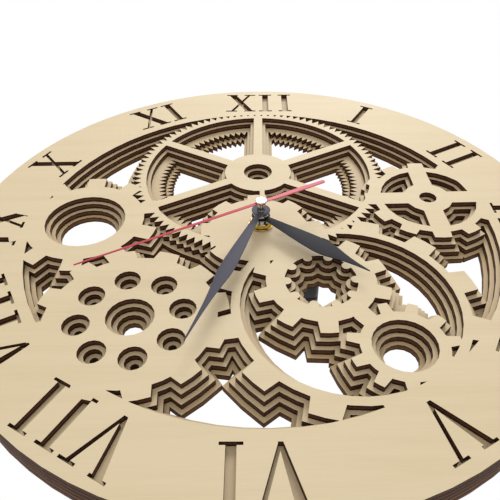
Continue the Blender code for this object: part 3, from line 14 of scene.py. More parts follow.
import bmesh
import bpy
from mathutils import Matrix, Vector


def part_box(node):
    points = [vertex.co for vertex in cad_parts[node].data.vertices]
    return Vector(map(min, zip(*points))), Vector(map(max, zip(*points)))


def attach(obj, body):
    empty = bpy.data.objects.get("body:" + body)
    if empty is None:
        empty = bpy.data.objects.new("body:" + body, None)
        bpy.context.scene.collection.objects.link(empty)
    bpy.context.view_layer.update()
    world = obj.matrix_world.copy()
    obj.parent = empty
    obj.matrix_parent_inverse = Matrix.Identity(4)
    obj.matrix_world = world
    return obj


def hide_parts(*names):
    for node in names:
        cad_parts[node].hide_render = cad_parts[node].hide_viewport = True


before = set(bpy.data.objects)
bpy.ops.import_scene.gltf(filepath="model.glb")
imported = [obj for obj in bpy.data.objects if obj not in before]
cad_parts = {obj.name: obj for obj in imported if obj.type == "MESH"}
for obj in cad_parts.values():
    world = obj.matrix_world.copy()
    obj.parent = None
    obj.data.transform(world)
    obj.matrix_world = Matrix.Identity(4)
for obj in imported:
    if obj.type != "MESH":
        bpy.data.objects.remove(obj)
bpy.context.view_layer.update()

MM = 0.001
NO_ROOM = 1e-5
SEAM = 5e-6
SAME_POINT = 1e-6
TURN_STEPS = 64
CREASE = 38.0
FLAT = 0.5
FACE_SLOPE = 0.5
QUARTER_TURN = math.pi / 2.0
WAVE_FACTOR = 20.0
LOG = logging.getLogger("wall_clock")

Piece = bpy.types.Object
Material = bpy.types.Material
Tree = bpy.types.NodeTree
Node = bpy.types.Node
Socket = bpy.types.NodeSocket
Outputs = bpy.types.bpy_prop_collection
Sources = dict[str, Node | Socket]
Point = tuple[float, float]
Place = tuple[float, float, float]


class Direction(Enum):
    """Axis that a turned piece runs along."""

    ACROSS = 0
    DEPTH = 1


class Cut(Enum):
    """How two closed shapes are combined."""

    JOIN = "UNION"
    REMOVE = "DIFFERENCE"
    KEEP_SHARED = "INTERSECT"


# Modelling


def deselect_all() -> None:
    """Go back to object mode and leave nothing selected."""
    if bpy.context.object and bpy.context.object.mode != "OBJECT":
        bpy.ops.object.mode_set(mode="OBJECT")
    bpy.ops.object.select_all(action="DESELECT")


def select_only(piece: Piece) -> None:
    """Make the piece the only selected object and the active one."""
    deselect_all()
    piece.select_set(True)
    bpy.context.view_layer.objects.active = piece


def start_edit(piece: Piece) -> None:
    """Open the piece in edit mode with every vertex selected."""
    select_only(piece)
    bpy.ops.object.mode_set(mode="EDIT")
    bpy.context.tool_settings.mesh_select_mode = (True, False, False)
    bpy.ops.mesh.select_all(action="SELECT")


def end_edit() -> None:
    """Go back to object mode."""
    bpy.ops.object.mode_set(mode="OBJECT")


def select_vertices(piece: Piece, wanted: Callable[[Vector], bool]) -> None:
    """Select vertices of the piece in edit mode.

    Args:
        piece: Object that is open in edit mode.
        wanted: Test of a vertex's place, in metres.
    """
    mesh = bmesh.from_edit_mesh(piece.data)
    for vertex in mesh.verts:
        vertex.select = wanted(vertex.co)
    mesh.select_flush_mode()
    bmesh.update_edit_mesh(piece.data)


def flatten_faces(piece: Piece, sliver: float) -> None:
    """Shade the faces that look to the front or back flat, and slivers too.

    Args:
        piece: Piece that was shaded smooth.
        sliver: Area in square metres under which a face counts as a sliver.
    """
    start_edit(piece)
    bpy.context.tool_settings.mesh_select_mode = (False, False, True)
    mesh = bmesh.from_edit_mesh(piece.data)
    for face in mesh.faces:
        face.select = abs(face.normal.y) > FACE_SLOPE or face.calc_area() < sliver
    bmesh.update_edit_mesh(piece.data)
    bpy.ops.mesh.faces_shade_flat()
    end_edit()


def set_place(piece: Piece) -> None:
    """Put the object's place and turn into its mesh."""
    select_only(piece)
    bpy.ops.object.transform_apply(location=True, rotation=True, scale=True)


def apply_modifier(piece: Piece, kind: str, **settings: object) -> None:
    """Add one modifier and apply it.

    Args:
        piece: Object that gets the modifier.
        kind: Blender's name of the modifier.
        **settings: Values of the modifier.
    """
    select_only(piece)
    modifier = piece.modifiers.new(kind.lower(), kind)
    for key, value in settings.items():
        setattr(modifier, key, value)
    bpy.ops.object.modifier_apply(modifier=modifier.name)


def combine(piece: Piece, other: Piece, cut: Cut) -> None:
    """Join or cut the piece with another one, which is used up."""
    apply_modifier(piece, "BOOLEAN", object=other, operation=cut.value, solver="EXACT")
    bpy.data.objects.remove(other, do_unlink=True)


def round_edges(piece: Piece, width: float, steps: int = 2) -> None:
    """Round the sharp edges of the piece.

    Args:
        piece: Object with merged flat faces.
        width: Width of the rounding in millimetres.
        steps: Number of faces across it.
    """
    apply_modifier(
        piece,
        "BEVEL",
        width=width * MM,
        segments=steps,
        limit_method="ANGLE",
        angle_limit=math.radians(CREASE),
    )


def smooth(piece: Piece, degrees: float = CREASE) -> None:
    """Shade the piece smooth, apart from edges sharper than the angle."""
    select_only(piece)
    bpy.ops.object.shade_smooth_by_angle(angle=math.radians(degrees))


def merged_copy(node: str, name: str, flat_faces: bool = True) -> Piece:
    """Copy a CAD node as one merged mesh.

    Args:
        node: Name of the CAD node.
        name: Name of the new piece.
        flat_faces: Whether triangles in one plane become one face.

    Returns:
        The copy, with no material.
    """
    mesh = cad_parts[node].data.copy()
    mesh.materials.clear()
    piece = bpy.data.objects.new(name, mesh)
    bpy.context.scene.collection.objects.link(piece)
    start_edit(piece)
    bpy.ops.mesh.remove_doubles(threshold=SAME_POINT)
    if flat_faces:
        bpy.ops.mesh.dissolve_limited(angle_limit=math.radians(FLAT))
    end_edit()
    return piece


def turned(
    name: str,
    profile: Sequence[Point],
    centre: Vector,
    direction: Direction = Direction.DEPTH,
    ring: bool = False,
    steps: int = TURN_STEPS,
) -> Piece:
    """Turn a profile about a line through the centre.

    Args:
        name: Name of the new piece.
        profile: Radius and place along the line, in millimetres, from one end on.
        centre: Point on the line, in metres.
        direction: Axis that the line runs along.
        ring: Whether the profile closes on itself round a bore.
        steps: Number of faces round the piece.

    Returns:
        The turned piece, shaded smooth.
    """
    turn = (QUARTER_TURN, 0.0, 0.0) if direction is Direction.DEPTH else (0.0, QUARTER_TURN, 0.0)
    radius, place = profile[0]
    start = centre.copy()
    start[direction.value] = place * MM
    deselect_all()
    bpy.ops.mesh.primitive_circle_add(
        vertices=steps,
        radius=radius * MM,
        fill_type="NOTHING" if ring else "NGON",
        location=start,
        rotation=turn,
    )
    piece = bpy.context.object
    piece.name = name
    set_place(piece)
    start_edit(piece)
    for next_radius, next_place in list(profile[1:]) + ([profile[0]] if ring else []):
        step = Vector((0.0, 0.0, 0.0))
        step[direction.value] = (next_place - place) * MM
        bpy.ops.mesh.extrude_region_move(TRANSFORM_OT_translate={"value": step})
        middle = centre.copy()
        middle[direction.value] = next_place * MM
        share = next_radius / radius
        size = [share, share, share]
        size[direction.value] = 1.0
        bpy.ops.transform.resize(value=size, center_override=middle)
        radius, place = next_radius, next_place
    bpy.ops.mesh.select_all(action="SELECT")
    bpy.ops.mesh.remove_doubles(threshold=SEAM)
    bpy.ops.mesh.normals_make_consistent(inside=False)
    end_edit()
    smooth(piece)
    return piece


def ring_profile(inner: float, outer: float, front: float, back: float, chamfer: float) -> list[Point]:
    """Profile of a plain ring with broken edges, in millimetres."""
    return [
        (inner + chamfer, front),
        (outer - chamfer, front),
        (outer, front + chamfer),
        (outer, back - chamfer),
        (outer - chamfer, back),
        (inner + chamfer, back),
        (inner, back - chamfer),
        (inner, front + chamfer),
    ]


def middle_of(node: str) -> Vector:
    """Middle of a CAD node's box."""
    low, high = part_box(node)
    return (Vector(low) + Vector(high)) / 2.0


def depths(node: str) -> Point:
    """Front and back of a CAD node, in millimetres."""
    low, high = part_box(node)
    return low[1] / MM, high[1] / MM


def many_sided(name: str, node: str, sides: int, radius: float, turn: float = 0.0) -> Piece:
    """Make a prism in the place of a CAD node, from its front to its back.

    Args:
        name: Name of the new piece.
        node: Name of the CAD node.
        sides: Number of sides round it.
        radius: Radius to its corners in millimetres.
        turn: Its turn about its own axis, in radians.

    Returns:
        The prism.
    """
    front, back = depths(node)
    deselect_all()
    bpy.ops.mesh.primitive_cylinder_add(
        vertices=sides,
        radius=radius * MM,
        depth=(back - front) * MM,
        location=middle_of(node),
        rotation=(QUARTER_TURN, turn, 0.0),
    )
    piece = bpy.context.object
    piece.name = name
    set_place(piece)
    return piece


HAND_AXIS = middle_of("second_hand_boss")


def radii(node: str, centre: Vector = HAND_AXIS) -> Point:
    """Smallest and largest distance of a CAD node's points from a line along Y, in mm."""
    found = [
        math.hypot(vertex.co.x - centre.x, vertex.co.z - centre.z) / MM
        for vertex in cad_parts[node].data.vertices
    ]
    return min(found), max(found)


# Finishes


def linear(code: str) -> tuple[float, float, float, float]:
    """Turn an sRGB hex code into a linear colour."""
    values = [int(code[i : i + 2], 16) / 255.0 for i in (1, 3, 5)]
    made = [v / 12.92 if v <= 0.04045 else ((v + 0.055) / 1.055) ** 2.4 for v in values]
    return (made[0], made[1], made[2], 1.0)


def per_metre(size: float) -> float:
    """Scale of a noise whose spots are a size in millimetres."""
    return 1.0 / (size * MM)


def wave_scale(pitch: float) -> float:
    """Scale of a wave texture whose waves are a pitch in millimetres."""
    return math.tau / (WAVE_FACTOR * pitch * MM)


def add_node(
    tree: Tree,
    kind: str,
    settings: dict[str | int, object] | None = None,
    links: dict[str | int, Node | Socket] | None = None,
) -> Node:
    """Add a node with its settings and links.

    Args:
        tree: Node tree of a material or world.
        kind: Blender's name of the node, without the ShaderNode that all of them start with.
        settings: Values by property name, by input name or number, or as ramp "stops".
        links: Sources by input name or number: sockets, or nodes that give their first output.

    Returns:
        The new node.
    """
    node = tree.nodes.new(f"ShaderNode{kind}")
    for key, value in (settings or {}).items():
        if key == "stops":
            while len(node.color_ramp.elements) < len(value):
                node.color_ramp.elements.new(1.0)
            for element, (place, colour) in zip(node.color_ramp.elements, value):
                element.position = place
                element.color = linear(colour)
        elif isinstance(key, int) or key in node.inputs:
            node.inputs[key].default_value = value
        else:
            setattr(node, key, value)
    for key, source in (links or {}).items():
        socket = source if isinstance(source, Socket) else source.outputs[0]
        tree.links.new(socket, node.inputs[key])
    return node


@dataclass(frozen=True)
class Finish:
    """A material: its name, its colours and how rough, shiny and uneven it is.

    The second colour, the spread of the roughness and the relief in millimetres only show
    where a pattern brings them in.
    """

    name: str
    colour: str
    roughness: float
    metallic: float = 0.0
    coat: float = 0.0
    coat_roughness: float = 0.1
    specular: float = 0.5
    sheen_tint: str = "#FFFFFF"
    second_colour: str = "#FFFFFF"
    brighter: float = 0.0
    duller: float = 0.0
    relief: float = 0.0

    def make(self) -> Material:
        """Make the material and let its patterns steer the shader."""
        material = bpy.data.materials.new(self.name)
        material.use_nodes = True
        tree = material.node_tree
        shader = tree.nodes["Principled BSDF"]
        values = {
            "Base Color": linear(self.colour),
            "Roughness": self.roughness,
            "Metallic": self.metallic,
            "Coat Weight": self.coat,
            "Coat Roughness": self.coat_roughness,
            "Specular IOR Level": self.specular,
            "Specular Tint": linear(self.sheen_tint),
        }
        for name, value in values.items():
            shader.inputs[name].default_value = value
        sources = self.patterns(tree, add_node(tree, "TexCoord").outputs)
        if "Height" in sources:
            depth = {"Distance": self.relief * MM}
            bump = add_node(tree, "Bump", depth, {"Height": sources.pop("Height")})
            sources["Normal"] = bump.outputs["Normal"]
        for name, source in sources.items():
            tree.links.new(source, shader.inputs[name])
        return material

    def patterns(self, tree: Tree, place: Outputs) -> Sources:
        """Sources for the shader's inputs, and the Height of the relief: none on a plain finish."""
        return {}

    def mottled(
        self, tree: Tree, height: Node | Socket, tone: Node | Socket, gloss: Node | None = None
    ) -> Sources:
        """Let the tone and the gloss change from spot to spot.

        Args:
            tree: Node tree of the material.
            height: Pattern of the relief.
            tone: Pattern that brings in the second colour.
            gloss: Pattern that spreads the roughness.

        Returns:
            Sources for the shader's inputs, and the Height of the relief.
        """
        colours = {"data_type": "RGBA", 6: linear(self.colour), 7: linear(self.second_colour)}
        mixed = add_node(tree, "Mix", colours, {0: tone})
        sources = {"Height": height, "Base Color": mixed.outputs[2]}
        if gloss:
            spread = {"To Min": self.roughness - self.brighter, "To Max": self.roughness + self.duller}
            sources["Roughness"] = add_node(tree, "MapRange", spread, {"Value": gloss}).outputs[0]
        return sources


@dataclass(frozen=True)
class LaserCutPlywood(Finish):
    """Birch plywood: pale sanded faces with faint grain and edges burnt brown by the laser."""

    second_colour: str = "#DCC59C"
    relief: float = 0.02
    front: float = 0.0
    back: float = 3.0
    grain_shift: float = 0.0
    burnt: str = "#260C04"
    # Middle band of the walls: scorched wood, made lighter on the rear plates by painted backlight.
    scorch_and_backlight: str = "#5C341C"
    veneer: str = "#7A4C2A"
    fibre_width: float = 0.45
    fibre_length: float = 26.0
    band_width: float = 9.0
    band_stretch: float = 0.22
    shift_rise: float = 0.37
    striation_width: float = 0.35
    striation_rate: float = 60.0
    wall_roughness: float = 0.82

    def patterns(self, tree: Tree, place: Outputs) -> Sources:
        """Grain on the faces, veneers and scorching on the cut walls."""
        along = per_metre(self.fibre_length)
        shift = (self.grain_shift, 0.0, self.grain_shift * self.shift_rise)
        shifted = add_node(tree, "Mapping", {"Location": shift}, {"Vector": place["Object"]})
        fibre_scale = (along, along, per_metre(self.fibre_width))
        fibres = add_node(tree, "Mapping", {"Scale": fibre_scale}, {"Vector": shifted})
        fibre = add_node(
            tree, "TexNoise", {"Scale": 1.0, "Detail": 4.0, "Roughness": 0.62}, {"Vector": fibres}
        )
        band_scale = (along * self.band_stretch, along, per_metre(self.band_width))
        bands = add_node(tree, "Mapping", {"Scale": band_scale}, {"Vector": shifted})
        band = add_node(
            tree, "TexNoise", {"Scale": 1.0, "Detail": 2.0, "Distortion": 0.6}, {"Vector": bands}
        )
        strength = add_node(tree, "Math", {"operation": "MULTIPLY"}, {0: fibre, 1: band})
        grain = add_node(
            tree, "MapRange", {"From Min": 0.14, "From Max": 0.46, "To Max": 0.6}, {"Value": strength}
        )
        woods = {"data_type": "RGBA", 6: linear(self.colour), 7: linear(self.second_colour)}
        face = add_node(tree, "Mix", woods, {0: grain})
        wall = self.wall_colour(tree, place["Object"])
        facing = add_node(tree, "SeparateXYZ", None, {0: place["Normal"]})
        slope = add_node(tree, "Math", {"operation": "ABSOLUTE"}, {0: facing.outputs["Y"]})
        is_face = add_node(tree, "MapRange", {"From Min": 0.45, "From Max": 0.55}, {"Value": slope})
        sides = {0: is_face, 6: wall, 7: face.outputs[2]}
        both = add_node(tree, "Mix", {"data_type": "RGBA"}, sides)
        spread = {"To Min": self.wall_roughness, "To Max": self.roughness}
        gloss = add_node(tree, "MapRange", spread, {"Value": is_face})
        return {"Height": fibre, "Base Color": both.outputs[2], "Roughness": gloss.outputs[0]}

    def wall_colour(self, tree: Tree, place: Socket) -> Socket:
        """Colour of the cut walls.

        Args:
            tree: Node tree of the material.
            place: Its object coordinates.

        Returns:
            Socket with the colour.
        """
        split = add_node(tree, "SeparateXYZ", None, {0: place})
        plate = {"From Min": self.front * MM, "From Max": self.back * MM}
        depth = add_node(tree, "MapRange", plate, {"Value": split.outputs["Y"]})
        stops = (
            (0.0, self.burnt),
            (0.16, self.burnt),
            (0.28, self.scorch_and_backlight),
            (0.42, self.scorch_and_backlight),
            (0.47, self.veneer),
            (0.57, self.veneer),
            (0.62, self.scorch_and_backlight),
            (0.78, self.scorch_and_backlight),
            (0.90, self.burnt),
        )
        layers = add_node(tree, "ValToRGB", {"stops": stops}, {0: depth})
        across = per_metre(self.striation_width)
        stretch = {"Scale": (across, self.striation_rate, across)}
        lines = add_node(tree, "Mapping", stretch, {"Vector": place})
        striation = add_node(tree, "TexNoise", {"Scale": 1.0, "Detail": 2.0}, {"Vector": lines})
        soot = add_node(
            tree, "MapRange", {"From Min": 0.35, "From Max": 0.75, "To Max": 0.45}, {"Value": striation}
        )
        black = {"data_type": "RGBA", 7: linear(self.burnt)}
        return add_node(tree, "Mix", black, {0: soot, 6: layers}).outputs[2]


@dataclass(frozen=True)
class MouldedPlastic(Finish):
    """Injection-moulded plastic: a fine spark-eroded texture that breaks up the sheen."""

    second_colour: str = "#26262A"
    brighter: float = 0.08
    duller: float = 0.1
    relief: float = 0.02
    texture_size: float = 0.5
    flow_size: float = 14.0

    def patterns(self, tree: Tree, place: Outputs) -> Sources:
        """Texture of the mould and slight flow marks."""
        grit = {"Scale": per_metre(self.texture_size), "Detail": 3.0}
        texture = add_node(tree, "TexNoise", grit, {"Vector": place["Object"]})
        marks = {"Scale": per_metre(self.flow_size), "Detail": 2.0}
        flow = add_node(tree, "TexNoise", marks, {"Vector": place["Object"]})
        return self.mottled(tree, texture, flow, texture)


@dataclass(frozen=True)
class SatinLacquer(Finish):
    """Lacquer on thin aluminium: an even satin skin with a trace of orange peel."""

    relief: float = 0.006
    peel_size: float = 0.9
    cloud_size: float = 11.0

    def patterns(self, tree: Tree, place: Outputs) -> Sources:
        """Orange peel and a slight change of tone where the coat is thin."""
        skin = {"Scale": per_metre(self.peel_size), "Detail": 2.0}
        peel = add_node(tree, "TexNoise", skin, {"Vector": place["Object"]})
        patches = {"Scale": per_metre(self.cloud_size), "Detail": 1.0}
        cloud = add_node(tree, "TexNoise", patches, {"Vector": place["Object"]})
        return self.mottled(tree, peel, cloud)


@dataclass(frozen=True)
class TurnedMetal(Finish):
    """Metal off the lathe: fine rings round the axis that draw the highlight out."""

    second_colour: str = "#8C8C86"
    duller: float = 0.12
    relief: float = 0.004
    centre: Point = (HAND_AXIS.x, HAND_AXIS.z)
    ring_pitch: float = 0.16
    cloud_size: float = 2.4
    stain: float = 0.35

    def patterns(self, tree: Tree, place: Outputs) -> Sources:
        """Tool rings, and a faint stain in the plating."""
        shift = {"Location": (-self.centre[0], 0.0, -self.centre[1])}
        centred = add_node(tree, "Mapping", shift, {"Vector": place["Object"]})
        cut = {
            "wave_type": "RINGS",
            "rings_direction": "Y",
            "Scale": wave_scale(self.ring_pitch),
            "Distortion": 0.6,
        }
        rings = add_node(tree, "TexWave", cut, {"Vector": centred})
        patches = {"Scale": per_metre(self.cloud_size), "Detail": 3.0}
        cloud = add_node(tree, "TexNoise", patches, {"Vector": place["Object"]})
        stain = {"From Min": 0.45, "From Max": 0.8, "To Max": self.stain}
        share = add_node(tree, "MapRange", stain, {"Value": cloud})
        return self.mottled(tree, rings.outputs["Fac"], share, cloud)


@dataclass(frozen=True)
class RolledSheet(Finish):
    """Rolled and plated steel sheet: fine lines of the rolls and cloudy zinc."""

    second_colour: str = "#8B8F93"
    brighter: float = 0.06
    duller: float = 0.14
    relief: float = 0.004
    line_width: float = 0.3
    line_length: float = 12.0
    cloud_size: float = 3.5

    def patterns(self, tree: Tree, place: Outputs) -> Sources:
        """Roll lines along Z and a cloudy plating."""
        across = per_metre(self.line_width)
        stretch = {"Scale": (across, across, per_metre(self.line_length))}
        lines = add_node(tree, "Mapping", stretch, {"Vector": place["Object"]})
        line = add_node(tree, "TexNoise", {"Scale": 1.0, "Detail": 3.0}, {"Vector": lines})
        crystals = {"feature": "SMOOTH_F1", "Scale": per_metre(self.cloud_size)}
        cloud = add_node(tree, "TexVoronoi", crystals, {"Vector": place["Object"]})
        return self.mottled(tree, line, cloud, line)


@dataclass(frozen=True)
class WoundWire(Finish):
    """Lacquered wire, wound turn by turn: painted shade in the dark gaps, and crests in the second
    colour.
    """

    relief: float = 0.11
    wire: float = 0.22

    def patterns(self, tree: Tree, place: Outputs) -> Sources:
        """One wave for each turn of wire, drawn a little coarser than the real one; its low parts are
        painted shade between the turns.
        """
        winding = {"bands_direction": "X", "Scale": wave_scale(self.wire), "Distortion": 0.4}
        turns = add_node(tree, "TexWave", winding, {"Vector": place["Object"]})
        return self.mottled(tree, turns.outputs["Fac"], turns.outputs["Fac"])


@dataclass(frozen=True)
class PrintedSleeve(Finish):
    """Printed plastic sleeve of a dry cell: a dark body and one coppery band, no lettering."""

    second_colour: str = "#B8793A"
    relief: float = 0.01
    line_colour: str = "#D8D2C4"
    band_from: float = 0.0
    band_to: float = 0.01
    line_place: float = 0.70
    line_width: float = 0.02
    sharpness: float = 0.002
    film_size: float = 3.0

    def patterns(self, tree: Tree, place: Outputs) -> Sources:
        """Colour by the place along the cell, with shrink marks of the film."""
        split = add_node(tree, "SeparateXYZ", None, {0: place["Object"]})
        ends = {"From Min": self.band_from, "From Max": self.band_to}
        along = add_node(tree, "MapRange", ends, {"Value": split.outputs["X"]})
        line_end = self.line_place + self.line_width
        stops = (
            (0.0, self.colour),
            (self.line_place, self.colour),
            (self.line_place + self.sharpness, self.line_colour),
            (line_end, self.line_colour),
            (line_end + self.sharpness, self.second_colour),
            (1.0, self.second_colour),
        )
        colours = add_node(tree, "ValToRGB", {"stops": stops}, {0: along})
        shrinks = {"Scale": per_metre(self.film_size), "Detail": 2.0}
        film = add_node(tree, "TexNoise", shrinks, {"Vector": place["Object"]})
        return {"Height": film, "Base Color": colours.outputs["Color"]}


# Black ABS from a spark-eroded mould gives a broken grey sheen in place of a mirror.
BLACK_ABS = MouldedPlastic("black_abs_fine_texture", "#141416", 0.46)
# Acetal is milky and a little waxy.
WHITE_ACETAL = MouldedPlastic(
    "white_acetal_as_moulded", "#E4E1D6", 0.38, texture_size=1.2, relief=0.006, second_colour="#D3CEBF"
)
# Nylon and epoxy are nearly as dark as the case but duller, and rubber shows no highlight.
BLACK_NYLON = MouldedPlastic("black_nylon_knob", "#1B1B1D", 0.40, texture_size=0.8)
EPOXY = MouldedPlastic("black_epoxy_chip", "#121213", 0.55, texture_size=0.3)
RUBBER = MouldedPlastic(
    "black_rubber_matt", "#1D1C1B", 0.84, texture_size=0.4, relief=0.04, second_colour="#2B2927"
)
# Satin black lacquer on both hands. The hour hand shows the lacquer's own dark colour; the minute
# hand's lighter, bluish base colour is a painted sheen on the same black lacquer.
HOUR_LACQUER = SatinLacquer(
    "black_satin_lacquer_hour_hand",
    "#131317",
    0.60,
    specular=0.30,
    sheen_tint="#D9D6E2",
    second_colour="#1B1A20",
)
MINUTE_LACQUER_WITH_PAINTED_SHEEN = SatinLacquer(
    "black_lacquer_painted_sheen_minute_hand",
    "#3F3E49",
    0.60,
    specular=0.65,
    sheen_tint="#D9D6E2",
    second_colour="#3C3A47",
)
# Red lacquer, where the thin coat over bright metal looks pinkish.
RED_LACQUER = SatinLacquer("red_satin_lacquer_on_aluminium", "#CF4453", 0.46, second_colour="#D85664")
# Nickel plate mirrors the room, drawn out by the tool rings.
NICKEL = TurnedMetal("bright_nickel_plate_turned", "#CCCAC4", 0.14, 1.0, second_colour="#BDBCB6")
# Bare brass, yellow with darker stains.
BRASS = TurnedMetal("brass_turned", "#DEC77E", 0.18, 1.0, second_colour="#A98A3A", stain=0.4)
# The steel shaft end in the cap's recess, coloured dark: partly steel, partly painted shade of the
# recess.
DARK_STEEL_WITH_PAINTED_SHADE = TurnedMetal("steel_shaft_end_painted_shade", "#57575A", 0.35, 1.0)
# Plated steel sheet: grey and cloudy, or yellower and brighter on the springs.
ZINC_SHEET = RolledSheet("zinc_plated_steel_sheet", "#A9ADB1", 0.34, 1.0)
SPRING_SHEET = RolledSheet("nickel_plated_spring_sheet", "#B9B9B4", 0.24, 1.0, second_colour="#A2A29C")
# Lacquer gives the copper wire a wet gloss; its first colour is painted shade between the turns.
COPPER_WIRE_WITH_PAINTED_GAP_SHADE = WoundWire(
    "lacquered_copper_wire_painted_gap_shade", "#5A2A12", 0.30, 0.8, coat=0.4, second_colour="#B4622E"
)
# Solder mask over the weave of the glass board, and ferrite as dark as cast iron.
CIRCUIT_BOARD = MouldedPlastic(
    "green_solder_mask_on_glass_board",
    "#1E4A2B",
    0.42,
    texture_size=0.35,
    relief=0.008,
    second_colour="#2A5C37",
)
FERRITE = MouldedPlastic(
    "bonded_ferrite_magnet", "#2B2B2E", 0.5, texture_size=0.2, second_colour="#38383B"
)


def finish_piece(piece: Piece, material: Material, body: str, slot: str, *nodes: str) -> None:
    """Give a piece its material and body, and let it stand for CAD nodes.

    Args:
        piece: Finished piece.
        material: Its material.
        body: CAD body that it rides on.
        slot: Material slot of the record; not used.
        *nodes: CAD nodes that it replaces.
    """
    piece.data.materials.clear()
    piece.data.materials.append(material)
    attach(piece, body)
    if nodes:
        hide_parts(*nodes)
    LOG.info("%s: %d faces, rides on %s", piece.name, len(piece.data.polygons), body)


def turn_node(
    node: str, profile: Sequence[Point], material: Material, body: str, slot: str, ring: bool = True
) -> None:
    """Turn the piece that stands for a CAD node, and finish it.

    Args:
        node: Name of the CAD node.
        profile: Radius and depth of its corners, in millimetres.
        material: Its material.
        body: CAD body that it rides on.
        slot: Material slot of the record.
        ring: Whether it has a bore.
    """
    piece = turned(f"{node}_turned", profile, HAND_AXIS, ring=ring)
    finish_piece(piece, material, body, slot, node)


# Sub-assemblies


@dataclass
class PlywoodDial:
    """Four stepped plates and the back ring, glued into one stack."""

    plates: tuple[str, ...] = (
        "dial_plate_front",
        "dial_plate_second",
        "dial_plate_third",
        "dial_plate_rear",
        "back_ring",
    )
    # Faces of the deeper plates are darker and pinker: partly smoke stain, partly painted shade of the
    # steps.
    stain_and_shade_face_colours: tuple[str, ...] = ("#E9D6B1", "#DCC39B", "#DCC39B", "#D6B98C", "#D6B98C")
    # Walls grow lighter towards the back: laser char, with painted light from the white surroundings
    # behind on the rear plate and the back ring.
    char_and_backlight_wall_colours: tuple[str, ...] = ("#58301A", "#5A321B", "#66401F", "#855524", "#6E4624")
    roughness: float = 0.58
    grain_step: float = 0.37
    glue_line: float = 0.02
    back_reach: float = 0.1
    crease: float = 32.0
    sliver_area: float = 1e-10

    def build(self) -> None:
        """Dress every plate, with the glue gap behind it nearly closed."""
        for number, node in enumerate(self.plates):
            front, back = depths(node)
            piece = merged_copy(node, f"{node}_plywood", flat_faces=False)
            if number + 1 < len(self.plates):
                self.close_gap(piece, back, depths(self.plates[number + 1])[0])
            smooth(piece, self.crease)
            flatten_faces(piece, self.sliver_area)
            # Deeper plates get faces with painted shade and smoke stain, the rear plates walls with
            # painted backlight.
            finish = LaserCutPlywood(
                f"laser_cut_birch_plywood_{number + 1}",
                self.stain_and_shade_face_colours[number],
                self.roughness,
                front=front,
                back=back,
                grain_shift=self.grain_step * number,
                scorch_and_backlight=self.char_and_backlight_wall_colours[number],
            )
            finish_piece(piece, finish.make(), "clock", "birch_plywood", node)

    def close_gap(self, piece: Piece, back: float, next_front: float) -> None:
        """Move the back of a plate up to the plate behind it.

        Args:
            piece: Copy of the plate.
            back: Depth of its back in millimetres.
            next_front: Depth of the next plate's front in millimetres.
        """
        start_edit(piece)
        select_vertices(piece, lambda place: place.y / MM > back - self.back_reach)
        bpy.ops.transform.translate(value=(0.0, (next_front - back - self.glue_line) * MM, 0.0))
        end_edit()


@dataclass
class PressedHand:
    """Hand pressed from thin aluminium: a crowned lance on a flat eye."""

    node: str
    body: str
    length: float
    angle: float
    width: float
    stations: tuple[Point, ...]
    crown: float = 0.34
    crown_rises: tuple[Point, ...] = ((0.0, 1.0), (0.5, 0.78))
    sheet: float = 0.22
    inset: float = 0.27
    tip_width: float = 0.7
    edge_round: float = 0.09
    eye_radius: float = 4.6
    eye_chamfer: float = 0.08
    crease: float = 35.0
    spare_place: float = -5.0
    columns: int = 4
    smoothing: int = 2

    def build(self, material: Material) -> None:
        """Model the blade and the eye, join them and dress the hand."""
        front, back = depths(self.node)
        hand = self.blade(front + self.inset)
        inner, _ = radii(self.node)
        rim = ring_profile(inner, self.eye_radius, front, back, self.eye_chamfer)
        combine(hand, turned("eye", rim, HAND_AXIS, ring=True), Cut.JOIN)
        smooth(hand, self.crease)
        finish_piece(hand, material, self.body, "black_paint", self.node)

    def blade(self, front: float) -> Piece:
        """Shape the crowned blade and lay it along its angle.

        Args:
            front: Depth of the blade's edges at the front, in millimetres.

        Returns:
            The blade as a closed sheet.
        """
        rows = list(self.stations) + [(1.0, self.tip_width / self.width)]
        spacing = 2.0 / (len(rows) - 1)
        deselect_all()
        bpy.ops.mesh.primitive_grid_add(
            x_subdivisions=len(rows) - 1,
            y_subdivisions=self.columns,
            size=2.0,
            location=(self.spare_place, 0.0, 0.0),
            rotation=(QUARTER_TURN, 0.0, 0.0),
        )
        piece = bpy.context.object
        piece.name = f"{self.node}_pressed"
        set_place(piece)
        start_edit(piece)
        for number, (share, width) in enumerate(rows):
            self.place_row(piece, self.spare_place - 1.0 + spacing * number, share, width)
        end_edit()
        apply_modifier(piece, "SUBSURF", levels=self.smoothing, render_levels=self.smoothing)
        apply_modifier(piece, "SOLIDIFY", thickness=self.sheet * MM, offset=-1.0)
        round_edges(piece, self.edge_round)
        piece.rotation_euler = (0.0, -math.radians(self.angle), 0.0)
        piece.location = (HAND_AXIS.x, front * MM, HAND_AXIS.z)
        set_place(piece)
        return piece

    def place_row(self, piece: Piece, start: float, share: float, width: float) -> None:
        """Move one row of the grid to its station and crown it.

        Args:
            piece: Grid in edit mode.
            start: Place of the row before the move, in metres.
            share: Place along the hand, as a share of its length.
            width: Width as a share of the hand's greatest width.
        """
        half = self.width * width / 2.0 * MM
        target = self.length * share * MM
        select_vertices(piece, lambda place: abs(place.x - start) < NO_ROOM)
        bpy.ops.transform.translate(value=(target - start, 0.0, 0.0))
        bpy.ops.transform.resize(value=(1.0, 1.0, half), center_override=(target, 0.0, 0.0))
        for column, rise in self.crown_rises:
            select_vertices(
                piece,
                lambda place: abs(place.x - target) < NO_ROOM
                and abs(abs(place.z) - column * half) < SAME_POINT,
            )
            bpy.ops.transform.translate(value=(0.0, -self.crown * rise * width * MM, 0.0))


